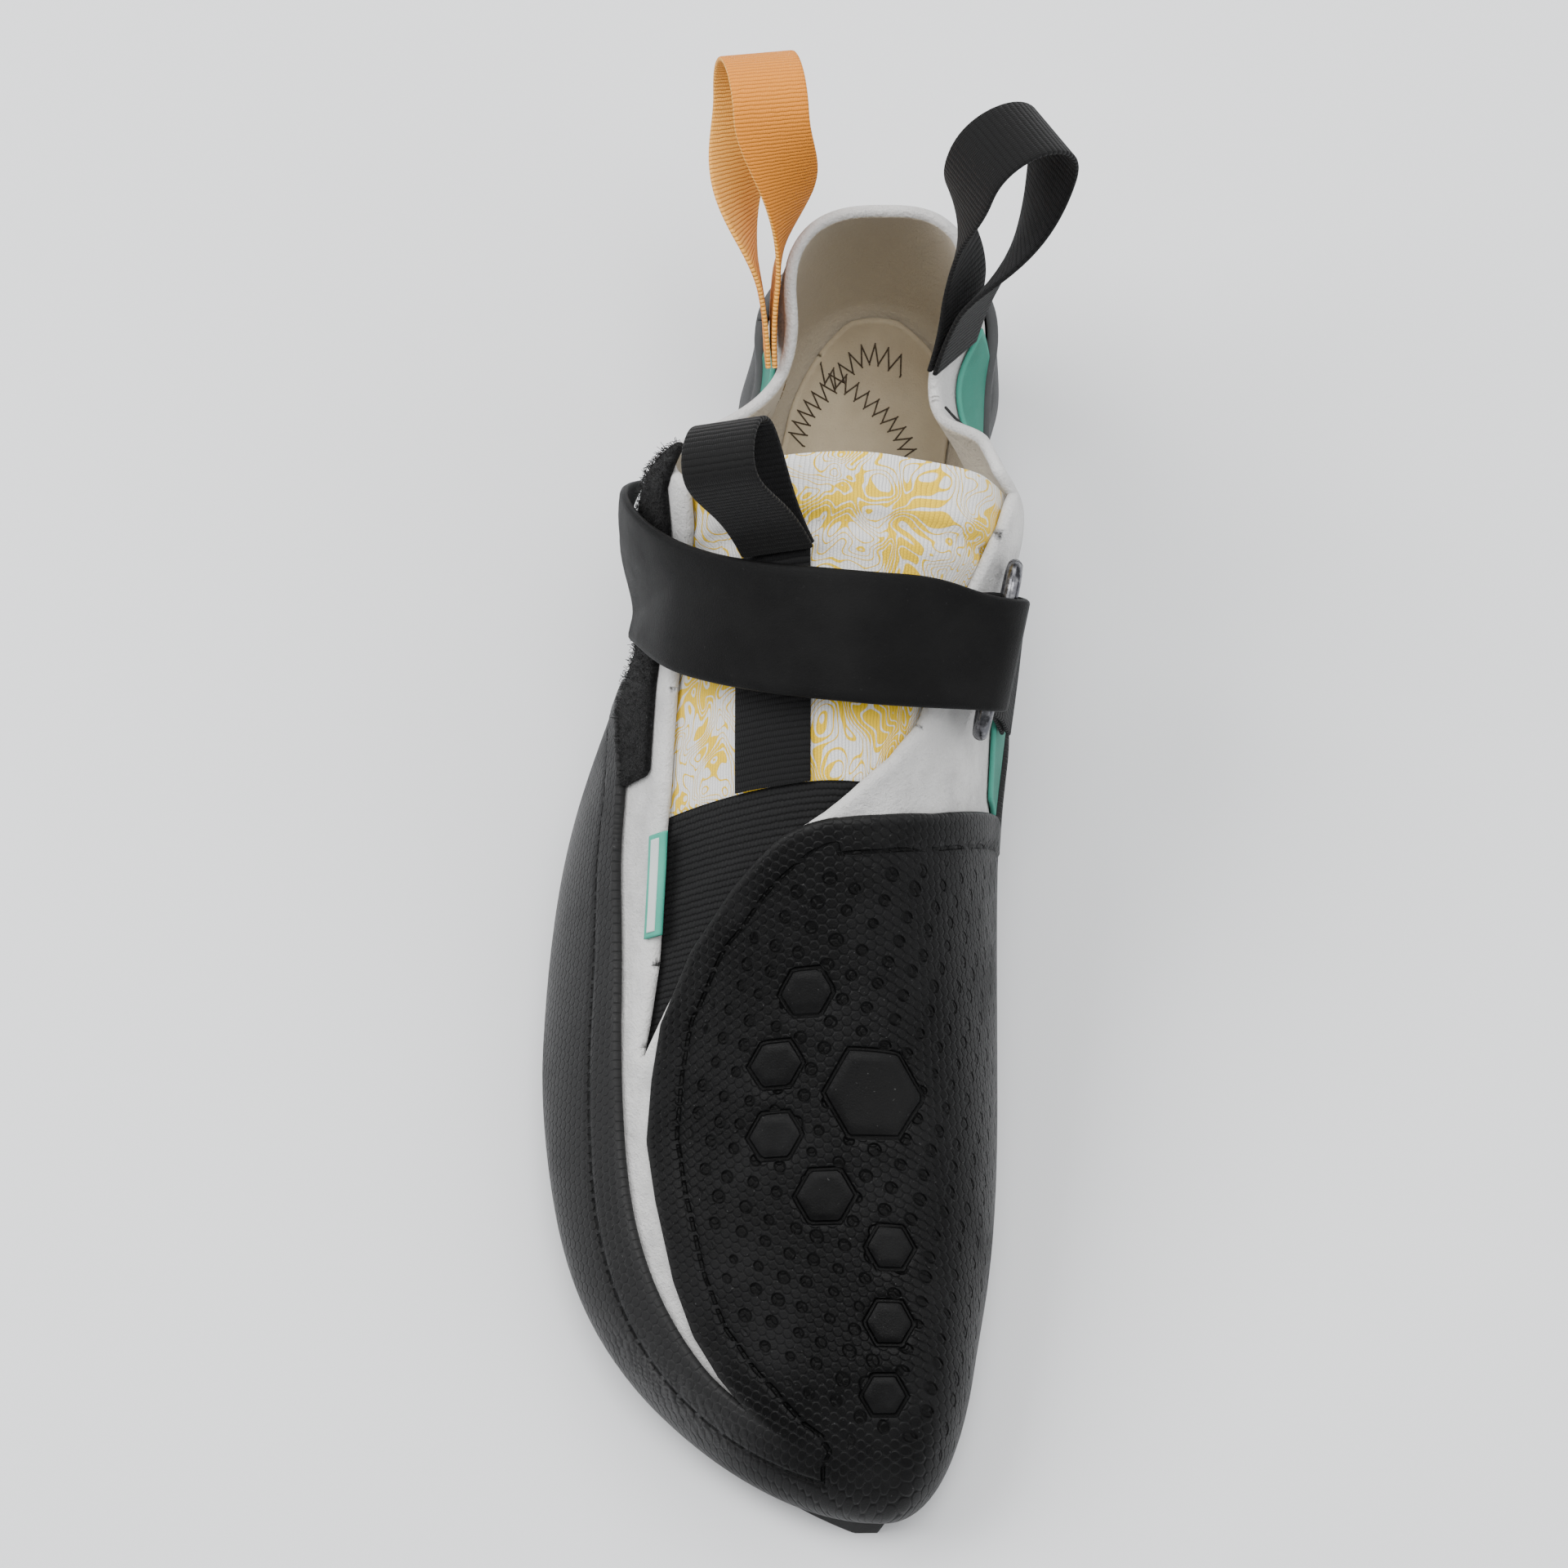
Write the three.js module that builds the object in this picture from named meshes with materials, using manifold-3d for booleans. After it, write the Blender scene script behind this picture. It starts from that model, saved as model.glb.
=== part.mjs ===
// A climbing shoe for the right foot, in millimetres. +Z is up, the toe points to -Y, and the big toe's side is +X.
// The origin is the middle of the heel's flat spot on the floor.
// Every piece is cut from layers that lie on one last, the foot-shaped form that a shoe is built on.
import * as THREE from "three";
import Module from "manifold-3d";
import { mergeVertices } from "three/addons/utils/BufferGeometryUtils.js";

const wasm = await Module();
wasm.setup();

// Driving sizes of the last
const lastLength = 249;
const heelBack = 29; // from the heel's flat spot back to the last's end
const ballWidth = 80;
const instepHeight = 100;
const archRise = 13;

// Roundings that close the last at its ends
const heelRound = 22;
const heelTopRound = 15;
const heelBottomRound = 14;
const toeMedialRound = 26;
const toeLateralRound = 92;
const toeTopRound = 24;
const toeBottomRound = 16;

// How far the quarters lean: the flap and the medial edge stand out, the collar is drawn in below the ankle
const flapFlare = 11;
const collarTuck = 7;
const lateralTuck = 5;
const medialFlare = 7;
// Where they lean: share and reach along the last, low to high as shares of the instep's height, and inner to
// outer across the shoe as shares of the ball's width. side is 1 medial, -1 lateral.
const leanTable = [
  { push: -flapFlare, side: -1, share: 0.245, reach: 0.104, low: 0.34, high: 0.8, inner: 0.1, outer: 0.325 },
  { push: lateralTuck, side: -1, share: 0.133, reach: 0.08, low: 0.2, high: 0.6, inner: 0.075, outer: 0.225 },
  { push: -collarTuck, side: 1, share: 0.153, reach: 0.072, low: 0.44, high: 0.72, inner: 0.05, outer: 0.175 },
  { push: medialFlare, side: 1, share: 0.277, reach: 0.096, low: 0.55, high: 0.85, inner: 0.075, outer: 0.2 },
];

// Walls and layers
const upperWall = 2;
const rubberWall = 1.8;
const soleThickness = 4;
const soleWear = 0.5; // ground off flat where the sole meets the floor
const insoleThickness = 1.5;
const knitThickness = 1;
const webbingThickness = 1;
const pileThickness = 1.6;
const panelThickness = 1;
const strapThickness = 1.9;
const strapStandOff = 1.95; // the strap is stretched over the pile, not pressed into its hollows
const gap = 0.3; // between two pieces that lie on each other

// Margins along the feather line, measured in plan from the last's silhouette
const upperTurnIn = 13; // the upper's edge is turned under the foot by this much
const randTurnIn = 12;
const soleInset = 1.5;
const soleToeInset = 3; // more than that at the toe's tip
const soleWrap = 3.2; // the sole reaches this far up from its flat
const soleFlare = 2.2; // and its edge stands out by this much
const turnInRise = 4;
const boardMargin = 1; // between the board and the upper's turned edge
const insoleInset = 4;
const insoleRise = 7;

// Strap, ring and webbing
const ringRod = 3;
const ringSpan = 33;
const ringDepth = 11;
const ringCorner = 4.5;
const tabWidth = 18;
const tapeWidth = 15;
const heelLoopLength = 61;
const heelLoopOpening = 19;
const frontLoopLength = 30;
const frontLoopOpening = 13;
const frontLoopShare = 0.335;
const frontLoopLift = 2.4;
const tapeClearance = 0.1; // over the tongue, which is itself under the last by the gap
const tagThickness = 1.6;
const tagWidth = 3.4;
const tagLap = 1; // how far it lies on the upper

// Lifts of the layers above the last, the upper's inside
const rubberLift = upperWall + gap;
const soleLift = rubberLift + rubberWall + gap;
const seat = soleLift + soleThickness; // the last's lowest point above the floor, before wear
const pileTop = rubberLift + pileThickness;
const ringRadius = ringRod / 2;
const strapLower = pileTop + strapStandOff + strapThickness / 2;
const foldRadius = ringRadius + 2 * gap + strapThickness / 2;

// The last from the heel to the toe, in plan. share is along the length, and the other columns are shares of the
// ball's width: how far the medial and lateral sides, the ridge and the middle of the section lie out.
const planTable = [
  { share: 0.0, medial: 0.285, lateral: 0.235, ridge: 0.045, shift: 0.019 },
  { share: 0.05, medial: 0.285, lateral: 0.24, ridge: 0.04, shift: 0.011 },
  { share: 0.12, medial: 0.262, lateral: 0.27, ridge: 0.02, shift: 0.0 },
  { share: 0.2, medial: 0.278, lateral: 0.33, ridge: -0.02, shift: -0.012 },
  { share: 0.28, medial: 0.335, lateral: 0.42, ridge: -0.05, shift: -0.024 },
  { share: 0.36, medial: 0.342, lateral: 0.53, ridge: -0.06, shift: -0.026 },
  { share: 0.45, medial: 0.31, lateral: 0.645, ridge: -0.07, shift: -0.026 },
  { share: 0.54, medial: 0.298, lateral: 0.705, ridge: -0.07, shift: -0.024 },
  { share: 0.64, medial: 0.29, lateral: 0.735, ridge: -0.06, shift: -0.017 },
  { share: 0.74, medial: 0.276, lateral: 0.755, ridge: -0.05, shift: -0.008 },
  { share: 0.83, medial: 0.234, lateral: 0.79, ridge: -0.02, shift: 0.009 },
  { share: 0.91, medial: 0.18, lateral: 0.79, ridge: 0.02, shift: 0.023 },
  { share: 1.0, medial: 0.15, lateral: 0.72, ridge: 0.05, shift: 0.038 },
];
// The last's profile. top and the widest points' heights wideM and wideL are shares of the instep's height; bottom
// is a share of the arch's rise. Each bow is a quarter's fullness: 2 is an ellipse, more is squarer.
const profileTable = [
  { share: 0.0, top: 0.9, wideM: 0.27, wideL: 0.27, bottom: 0.55, bowM: 3.0, bowL: 3.0, bowB: 2.2 },
  { share: 0.05, top: 0.95, wideM: 0.27, wideL: 0.27, bottom: 0.15, bowM: 3.0, bowL: 3.0, bowB: 2.4 },
  { share: 0.12, top: 0.96, wideM: 0.28, wideL: 0.3, bottom: 0.0, bowM: 2.6, bowL: 2.6, bowB: 2.6 },
  { share: 0.2, top: 1.02, wideM: 0.42, wideL: 0.42, bottom: 0.15, bowM: 2.4, bowL: 2.3, bowB: 2.8 },
  { share: 0.28, top: 1.06, wideM: 0.48, wideL: 0.42, bottom: 0.6, bowM: 2.4, bowL: 2.2, bowB: 2.9 },
  { share: 0.36, top: 0.98, wideM: 0.4, wideL: 0.32, bottom: 0.95, bowM: 2.3, bowL: 1.9, bowB: 2.9 },
  { share: 0.45, top: 0.86, wideM: 0.3, wideL: 0.23, bottom: 0.95, bowM: 2.2, bowL: 1.65, bowB: 2.9 },
  { share: 0.54, top: 0.73, wideM: 0.21, wideL: 0.175, bottom: 0.6, bowM: 2.2, bowL: 1.5, bowB: 3.2 },
  { share: 0.64, top: 0.6, wideM: 0.165, wideL: 0.15, bottom: 0.12, bowM: 2.3, bowL: 1.5, bowB: 3.6 },
  { share: 0.74, top: 0.49, wideM: 0.148, wideL: 0.14, bottom: 0.0, bowM: 2.4, bowL: 1.6, bowB: 3.8 },
  { share: 0.83, top: 0.4, wideM: 0.14, wideL: 0.135, bottom: 0.0, bowM: 2.4, bowL: 1.8, bowB: 3.6 },
  { share: 0.91, top: 0.33, wideM: 0.135, wideL: 0.132, bottom: 0.0, bowM: 2.4, bowL: 2.0, bowB: 3.2 },
  { share: 1.0, top: 0.27, wideM: 0.13, wideL: 0.13, bottom: 0.0, bowM: 2.4, bowL: 2.2, bowB: 2.8 },
];

// Heights of edges along the shoe, as shares of the instep's height
const collarLine = [
  { share: 0.0, medial: 0.82, lateral: 0.82 },
  { share: 0.04, medial: 0.82, lateral: 0.82 },
  { share: 0.08, medial: 0.79, lateral: 0.79 },
  { share: 0.12, medial: 0.72, lateral: 0.72 },
  { share: 0.16, medial: 0.68, lateral: 0.68 },
  { share: 0.2, medial: 0.76, lateral: 0.72 },
  { share: 0.24, medial: 0.88, lateral: 0.84 },
  { share: 0.28, medial: 0.92, lateral: 0.96 },
];
const randLine = [
  { share: 0.28, medial: 0.3, lateral: 0.3 },
  { share: 0.36, medial: 0.3, lateral: 0.4 },
  { share: 0.4, medial: 0.32, lateral: 0.5 },
  { share: 0.45, medial: 0.34, lateral: 0.545 },
  { share: 0.5, medial: 0.38, lateral: 0.5 },
  { share: 0.57, medial: 0.4, lateral: 0.445 },
  { share: 0.64, medial: 0.4, lateral: 0.404 },
  { share: 0.74, medial: 0.4, lateral: 0.352 },
  { share: 0.85, medial: 0.4, lateral: 0.31 },
  { share: 0.95, medial: 0.4, lateral: 0.282 },
  { share: 1.0, medial: 0.4, lateral: 0.28 },
];
const heelRubberLine = [
  { share: 0.0, medial: 0.5, lateral: 0.5 },
  { share: 0.06, medial: 0.52, lateral: 0.52 },
  { share: 0.12, medial: 0.46, lateral: 0.46 },
  { share: 0.2, medial: 0.3, lateral: 0.3 },
  { share: 0.28, medial: 0.26, lateral: 0.26 },
];

// The throat in plan: the upper is open between these two edges. x is a share of the ball's width.
const throatLine = [
  { share: 0.24, medial: 0.25, lateral: -0.4 },
  { share: 0.27, medial: 0.36, lateral: -0.45 },
  { share: 0.3, medial: 0.33, lateral: -0.44 },
  { share: 0.35, medial: 0.25, lateral: -0.46 },
  { share: 0.4, medial: 0.19, lateral: -0.48 },
  { share: 0.45, medial: 0.135, lateral: -0.492 },
  { share: 0.48, medial: 0.06, lateral: -0.498 },
  { share: 0.51, medial: -0.05, lateral: -0.508 },
  { share: 0.524, medial: -0.115, lateral: -0.51 },
  { share: 0.535, medial: -0.2, lateral: -0.512 },
  { share: 0.56, medial: -0.3, lateral: -0.517 },
  { share: 0.6, medial: -0.41, lateral: -0.525 },
  { share: 0.64, medial: -0.485, lateral: -0.545 },
  { share: 0.672, medial: -0.54, lateral: -0.565 },
];

// The toe rubber's edge over the toes, in plan: x is a share of the ball's width
const capEdge = [
  { share: 0.5, lateral: 0.4 },
  { share: 0.5215, lateral: -0.06 },
  { share: 0.525, lateral: -0.15 },
  { share: 0.531, lateral: -0.2025 },
  { share: 0.541, lateral: -0.25 },
  { share: 0.56, lateral: -0.32 },
  { share: 0.6, lateral: -0.425 },
  { share: 0.65, lateral: -0.5 },
  { share: 0.69, lateral: -0.522 },
  { share: 0.735, lateral: -0.534 },
  { share: 0.78, lateral: -0.512 },
  { share: 0.84, lateral: -0.468 },
  { share: 0.88, lateral: -0.42 },
  { share: 0.91, lateral: -0.36 },
  { share: 0.94, lateral: -0.275 },
  { share: 0.957, lateral: -0.22 },
  { share: 0.965, lateral: -0.18 },
];
// Its top edge from there down the medial side
const capTopLine = [
  { turn: 0.008, share: 0.522 },
  { turn: 0.045, share: 0.518 },
  { turn: 0.097, share: 0.51 },
  { turn: 0.147, share: 0.498 },
  { turn: 0.202, share: 0.485 },
  { turn: 0.257, share: 0.473 },
  { turn: 0.5, share: 0.472 },
];
const joinShare = 0.962; // the toe rubber is whole round the tip beyond this

// Where the printed stretch tongue ends and the knit begins
const knitShare = 0.497;
const knitEnd = 0.69;
const tongueTopShare = 0.268;
const tongueLap = 7; // how far the tongue and the knit reach under the upper
const tongueEdgeShare = 0.3; // back of this the tongue's medial edge runs on straight
const tapeStart = 0.335;

// The pile patch and the heel's side panels: ends along the last, heights as shares of the instep's height
const pileBack = 0.245;
const pileFront = 0.462;
const pileLow = 0.5;
const pileMargin = 2.5; // from the throat's edge
const panelBack = 0.09;
const panelTopLine = [
  { share: 0.09, medial: 0.66, lateral: 0.6 },
  { share: 0.13, medial: 0.62, lateral: 0.6 },
  { share: 0.19, medial: 0.58, lateral: 0.6 },
  { share: 0.28, medial: 0.63, lateral: 0.6 },
  { share: 0.39, medial: 0.61, lateral: 0.6 },
  { share: 0.45, medial: 0.48, lateral: 0.6 },
  { share: 0.5, medial: 0.4, lateral: 0.6 },
];
const panelFront = { medial: 0.462, lateral: 0.2 };

// The strap's two edges: share along the last against the turn round it, 0 at the ridge and 1 all the way round
const strapEdges = [
  { turn: -0.21, back: 0.235, front: 0.36 },
  { turn: -0.17, back: 0.255, front: 0.378 },
  { turn: -0.12, back: 0.289, front: 0.402 },
  { turn: -0.06, back: 0.332, front: 0.424 },
  { turn: 0.0, back: 0.349, front: 0.438 },
  { turn: 0.06, back: 0.349, front: 0.438 },
  { turn: 0.12, back: 0.339, front: 0.426 },
  { turn: 0.2, back: 0.318, front: 0.404 },
];
const strapEnd = -0.205; // the free end, on the lateral side
const strapRoot = -0.1; // where the lower run is sewn, at the throat's lateral edge
const ringTurn = 0.125; // where the ring's upper bar lies
const tabEnd = 0.235; // where the ring's tab is sewn down
const tagBack = 0.508;
const tagFront = 0.582;
const tapeTurn = -0.04; // the front loop's root
const tapePlace = -0.2375; // the middle of the centre tape, as a share of the ball's width
const tapeTuck = -0.002;

const outside = -20; // a level that is plainly off a piece

// Resolution of the last's grid
const stationCount = 25;
const halfColumns = 16;

// A natural cubic spline through one column of a table
function splineOf(rows, key, column) {
  const n = rows.length;
  const xs = rows.map((row) => row[key]);
  const ys = rows.map((row) => row[column]);
  const bend = new Array(n).fill(0);
  const lower = new Array(n).fill(0);
  const value = new Array(n).fill(0);
  for (let i = 1; i < n - 1; i++) {
    const before = xs[i] - xs[i - 1];
    const after = xs[i + 1] - xs[i];
    const pivot = 2 * (before + after) - before * lower[i - 1];
    lower[i] = after / pivot;
    const turn = 6 * ((ys[i + 1] - ys[i]) / after - (ys[i] - ys[i - 1]) / before);
    value[i] = (turn - before * value[i - 1]) / pivot;
  }
  for (let i = n - 2; i > 0; i--) bend[i] = value[i] - lower[i] * bend[i + 1];
  return (x) => {
    const at = THREE.MathUtils.clamp(x, xs[0], xs[n - 1]);
    let k = 0;
    while (k < n - 2 && xs[k + 1] < at) k++;
    const step = xs[k + 1] - xs[k];
    const left = xs[k + 1] - at;
    const right = at - xs[k];
    const curve = (bend[k] * left ** 3 + bend[k + 1] * right ** 3) / (6 * step);
    const first = (ys[k] / step - (bend[k] * step) / 6) * left;
    return curve + first + (ys[k + 1] / step - (bend[k + 1] * step) / 6) * right;
  };
}

// A spline for each column of a table after its first, which is the key
function splinesOf(rows) {
  const [key, ...columns] = Object.keys(rows[0]);
  return Object.fromEntries(columns.map((column) => [column, splineOf(rows, key, column)]));
}

// A straight chain through one column of a table
function chainOf(rows, key, column) {
  return (x) => {
    let k = 0;
    while (k < rows.length - 2 && rows[k + 1][key] < x) k++;
    const part = THREE.MathUtils.clamp((x - rows[k][key]) / (rows[k + 1][key] - rows[k][key]), 0, 1);
    return rows[k][column] + part * (rows[k + 1][column] - rows[k][column]);
  };
}

const shape = { ...splinesOf(planTable), ...splinesOf(profileTable) };

// 0 at an end of the last, growing along a rounded profile to 1 at the reach
function closing(distance, reach) {
  const left = THREE.MathUtils.clamp(1 - distance / reach, 0, 1);
  return Math.sqrt(Math.max(1 - left * left, 0));
}

// 1 at the centre and 0 beyond the width, smooth
function hump(x, centre, width) {
  const u = Math.max(1 - ((x - centre) / width) ** 2, 0);
  return u * u;
}

function ramp(x, low, high) {
  return THREE.MathUtils.smoothstep(x, low, high);
}

// The measures of one section
function sectionAt(share) {
  const fromHeel = share * lastLength;
  const fromToe = (1 - share) * lastLength;
  const heel = closing(fromHeel, heelRound);
  const centre = shape.shift(share) * ballWidth;
  const wideM = shape.wideM(share) * instepHeight;
  const wideL = shape.wideL(share) * instepHeight;
  const waist = (wideM + wideL) / 2;
  const top = shape.top(share) * instepHeight;
  const bottom = seat - soleWear + Math.max(shape.bottom(share), 0) * archRise;
  const topFade = closing(fromHeel, heelTopRound) * closing(fromToe, toeTopRound);
  const bottomFade = closing(fromHeel, heelBottomRound) * closing(fromToe, toeBottomRound);
  const high = waist + (top - waist) * topFade;
  const low = waist - (waist - bottom) * bottomFade;
  const spread = THREE.MathUtils.clamp((high - low) / 12, 0, 1);
  return {
    y: heelBack - fromHeel,
    xM: centre + shape.medial(share) * ballWidth * heel * closing(fromToe, toeMedialRound),
    xL: centre - shape.lateral(share) * ballWidth * heel * closing(fromToe, toeLateralRound),
    xTop: centre + shape.ridge(share) * ballWidth * heel * closing(fromToe, toeTopRound),
    high,
    low,
    wideM: waist + (wideM - waist) * spread,
    wideL: waist + (wideL - waist) * spread,
    bowM: shape.bowM(share),
    bowL: shape.bowL(share),
    bowB: shape.bowB(share),
  };
}

// One half of a section, from the ridge down to the middle of the sole, as points and lengths along it
function halfSection(s, medial) {
  const steps = 48;
  const xSide = medial ? s.xM : s.xL;
  const zSide = medial ? s.wideM : s.wideL;
  const bowTop = medial ? s.bowM : s.bowL;
  const xBottom = (s.xM + s.xL) / 4 + s.xTop / 2;
  const points = [];
  for (let k = 0; k <= steps; k++) {
    const a = ((Math.PI / 2) * k) / steps;
    const across = Math.sin(a) ** (2 / bowTop);
    const up = Math.cos(a) ** (2 / bowTop);
    points.push([s.xTop + (xSide - s.xTop) * across, zSide + (s.high - zSide) * up]);
  }
  for (let k = 1; k <= steps; k++) {
    const a = ((Math.PI / 2) * k) / steps;
    const across = Math.max(Math.cos(a), 0) ** (2 / s.bowB);
    const down = Math.sin(a) ** (2 / s.bowB);
    points.push([xBottom + (xSide - xBottom) * across, zSide - (zSide - s.low) * down]);
  }
  const lengths = [0];
  for (let k = 1; k < points.length; k++) {
    const [dx, dz] = [points[k][0] - points[k - 1][0], points[k][1] - points[k - 1][1]];
    lengths.push(lengths[k - 1] + Math.hypot(dx, dz));
  }
  return { points, lengths };
}

const halves = new Map();
function halfAt(share, medial) {
  const key = `${share} ${medial}`;
  if (!halves.has(key)) halves.set(key, halfSection(sectionAt(share), medial));
  return halves.get(key);
}

// Moves a point of the last sideways where the quarters lean
function lean(p) {
  const q = p.clone();
  const share = (heelBack - p.y) / lastLength;
  for (const row of leanTable) {
    const height = ramp(p.z / instepHeight, row.low, row.high);
    const out = ramp((row.side * p.x) / ballWidth, row.inner, row.outer);
    q.x += row.push * hump(share, row.share, row.reach) * height * out;
  }
  return q;
}

// A point of the last: turn is 0 at the ridge, 0.5 or -0.5 under the sole, positive on the medial side
function lastPoint(share, turn) {
  const wrapped = turn - Math.round(turn);
  const half = halfAt(share, wrapped >= 0);
  const target = Math.abs(wrapped) * 2 * half.lengths.at(-1);
  let k = 1;
  while (k < half.lengths.length - 1 && half.lengths[k] < target) k++;
  const step = Math.max(half.lengths[k] - half.lengths[k - 1], 1e-9);
  const part = THREE.MathUtils.clamp((target - half.lengths[k - 1]) / step, 0, 1);
  const [a, b] = [half.points[k - 1], half.points[k]];
  const x = a[0] + (b[0] - a[0]) * part;
  const z = a[1] + (b[1] - a[1]) * part;
  return lean(new THREE.Vector3(x, heelBack - share * lastLength, z));
}

function lastNormal(share, turn) {
  const d = 0.004;
  const [before, after] = [Math.max(share - d, 0), Math.min(share + d, 1)];
  const along = lastPoint(after, turn).sub(lastPoint(before, turn));
  const around = lastPoint(share, turn + d).sub(lastPoint(share, turn - d));
  return along.cross(around).normalize();
}

// A place on a layer over the last
function onLast(share, turn, lift) {
  return lastPoint(share, turn).addScaledVector(lastNormal(share, turn), lift);
}

// The grid that all layers share, so that a layer never cuts into its neighbour
function lastGrid() {
  const columns = 2 * halfColumns;
  const grid = [];
  for (let i = 0; i <= stationCount; i++) {
    const share = (1 - Math.cos((Math.PI * i) / stationCount)) / 2;
    const row = [];
    for (let j = 0; j < columns; j++) {
      const turn = j <= halfColumns ? j / columns : j / columns - 1;
      row.push({ share, turn, point: lastPoint(share, turn) });
    }
    grid.push(row);
  }
  for (let i = 0; i <= stationCount; i++) {
    const s = sectionAt(grid[i][0].share);
    for (let j = 0; j < columns; j++) {
      const node = grid[i][j];
      const ends = i === 0 || i === stationCount;
      const along = grid[Math.min(i + 1, stationCount)][j].point.clone();
      along.sub(grid[Math.max(i - 1, 0)][j].point);
      const around = grid[i][(j + 1) % columns].point.clone().sub(grid[i][(j + columns - 1) % columns].point);
      node.normal = ends ? new THREE.Vector3(0, i === 0 ? 1 : -1, 0) : along.cross(around).normalize();
      node.under = node.point.z < (node.turn >= 0 ? s.wideM : s.wideL);
      node.skin = node.point.clone().addScaledVector(node.normal, upperWall);
      node.shell = node.point.clone().addScaledVector(node.normal, rubberLift + rubberWall);
      node.inset = Math.min(s.xM - node.point.x, node.point.x - s.xL);
      node.rise = node.point.z - seat + soleWear - Math.max(shape.bottom(node.share), 0) * archRise;
      node.soleFloor = Math.max(Math.max(shape.bottom(node.share), 0) * archRise - soleWear, 0);
    }
  }
  return grid;
}
const grid = lastGrid();

// The part of a layer where the level is above zero, as a solid from one lift to another.
// outerPlace may give the outer points another place than the lift does.
function cutPiece(level, innerLift, outerLift, outerPlace) {
  const columns = 2 * halfColumns;
  const levels = grid.map((row) => row.map((node) => {
    const value = level(node);
    return Math.abs(value) < 1e-3 ? 1e-3 : value;
  }));
  const idOf = (i, j) => {
    if (i === 0) return 0;
    if (i === stationCount) return 1;
    return 2 + (i - 1) * columns + (j % columns);
  };
  const nodes = new Map();
  const put = (id, point, normal, soleFloor) => {
    if (!nodes.has(id)) nodes.set(id, { point, normal, soleFloor, index: nodes.size });
    return id;
  };
  const corner = (i, j) => {
    const node = grid[i][j % columns];
    return { id: idOf(i, j), node, value: levels[i][i === 0 || i === stationCount ? 0 : j % columns] };
  };
  const crossing = (a, b) => {
    const [p, q] = a.id < b.id ? [a, b] : [b, a];
    const part = THREE.MathUtils.clamp(p.value / (p.value - q.value), 0.03, 0.97);
    const point = p.node.point.clone().lerp(q.node.point, part);
    const normal = p.node.normal.clone().lerp(q.node.normal, part);
    const soleFloor = THREE.MathUtils.lerp(p.node.soleFloor, q.node.soleFloor, part);
    return put(`${p.id}:${q.id}`, point, normal, soleFloor);
  };
  const faces = [];
  const clip = (triangle) => {
    const ids = new Set(triangle.map((c) => c.id));
    if (ids.size < 3) return;
    const ring = [];
    triangle.forEach((a, k) => {
      const b = triangle[(k + 1) % 3];
      if (a.value > 0) ring.push(put(a.id, a.node.point, a.node.normal, a.node.soleFloor));
      if (a.value > 0 !== b.value > 0) ring.push(crossing(a, b));
    });
    for (let k = 1; k < ring.length - 1; k++) faces.push([ring[0], ring[k], ring[k + 1]]);
  };
  for (let i = 0; i < stationCount; i++) {
    for (let j = 0; j < columns; j++) {
      const [a, b, c, d] = [corner(i, j), corner(i + 1, j), corner(i + 1, j + 1), corner(i, j + 1)];
      if ((i + j) % 2) {
        clip([a, b, c]);
        clip([a, c, d]);
      } else {
        clip([a, b, d]);
        clip([b, c, d]);
      }
    }
  }
  const positions = [];
  for (const node of nodes.values()) {
    const inner = node.point.clone().addScaledVector(node.normal, innerLift);
    const outer = outerPlace ? outerPlace(node, inner) : node.point.clone().addScaledVector(node.normal, outerLift);
    positions.push(...outer.toArray(), ...inner.toArray());
  }
  const indices = [];
  const edges = new Map();
  for (const face of faces) {
    const [a, b, c] = face.map((id) => nodes.get(id).index);
    indices.push(2 * a, 2 * b, 2 * c, 2 * c + 1, 2 * b + 1, 2 * a + 1);
    for (const [p, q] of [[a, b], [b, c], [c, a]]) {
      if (!edges.delete(`${q} ${p}`)) edges.set(`${p} ${q}`, [p, q]);
    }
  }
  for (const [p, q] of edges.values()) indices.push(2 * q, 2 * p, 2 * p + 1, 2 * q, 2 * p + 1, 2 * q + 1);
  return geometryOf(positions, indices);
}

function geometryOf(positions, indices) {
  const geometry = new THREE.BufferGeometry();
  geometry.setAttribute("position", new THREE.Float32BufferAttribute(positions, 3));
  geometry.setIndex(indices);
  return geometry;
}

// A bent slab between two grids of points, such as a tape or a strap. A closed one joins its last row to its first.
function slab(outer, inner) {
  const rows = outer.length;
  const across = outer[0].length;
  const positions = [];
  outer.forEach((row, r) => row.forEach((p, c) => positions.push(...p.toArray(), ...inner[r][c].toArray())));
  const at = (r, c, low) => 2 * (r * across + c) + low;
  const indices = [];
  const quad = (a, b, c, d) => indices.push(a, b, c, a, c, d);
  for (let r = 0; r < rows - 1; r++) {
    for (let c = 0; c < across - 1; c++) {
      quad(at(r, c, 0), at(r + 1, c, 0), at(r + 1, c + 1, 0), at(r, c + 1, 0));
      quad(at(r, c, 1), at(r, c + 1, 1), at(r + 1, c + 1, 1), at(r + 1, c, 1));
    }
    quad(at(r, 0, 1), at(r + 1, 0, 1), at(r + 1, 0, 0), at(r, 0, 0));
    quad(at(r, across - 1, 0), at(r + 1, across - 1, 0), at(r + 1, across - 1, 1), at(r, across - 1, 1));
  }
  for (let c = 0; c < across - 1; c++) {
    quad(at(0, c, 0), at(0, c + 1, 0), at(0, c + 1, 1), at(0, c, 1));
    quad(at(rows - 1, c, 1), at(rows - 1, c + 1, 1), at(rows - 1, c + 1, 0), at(rows - 1, c, 0));
  }
  return geometryOf(positions, indices);
}

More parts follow.
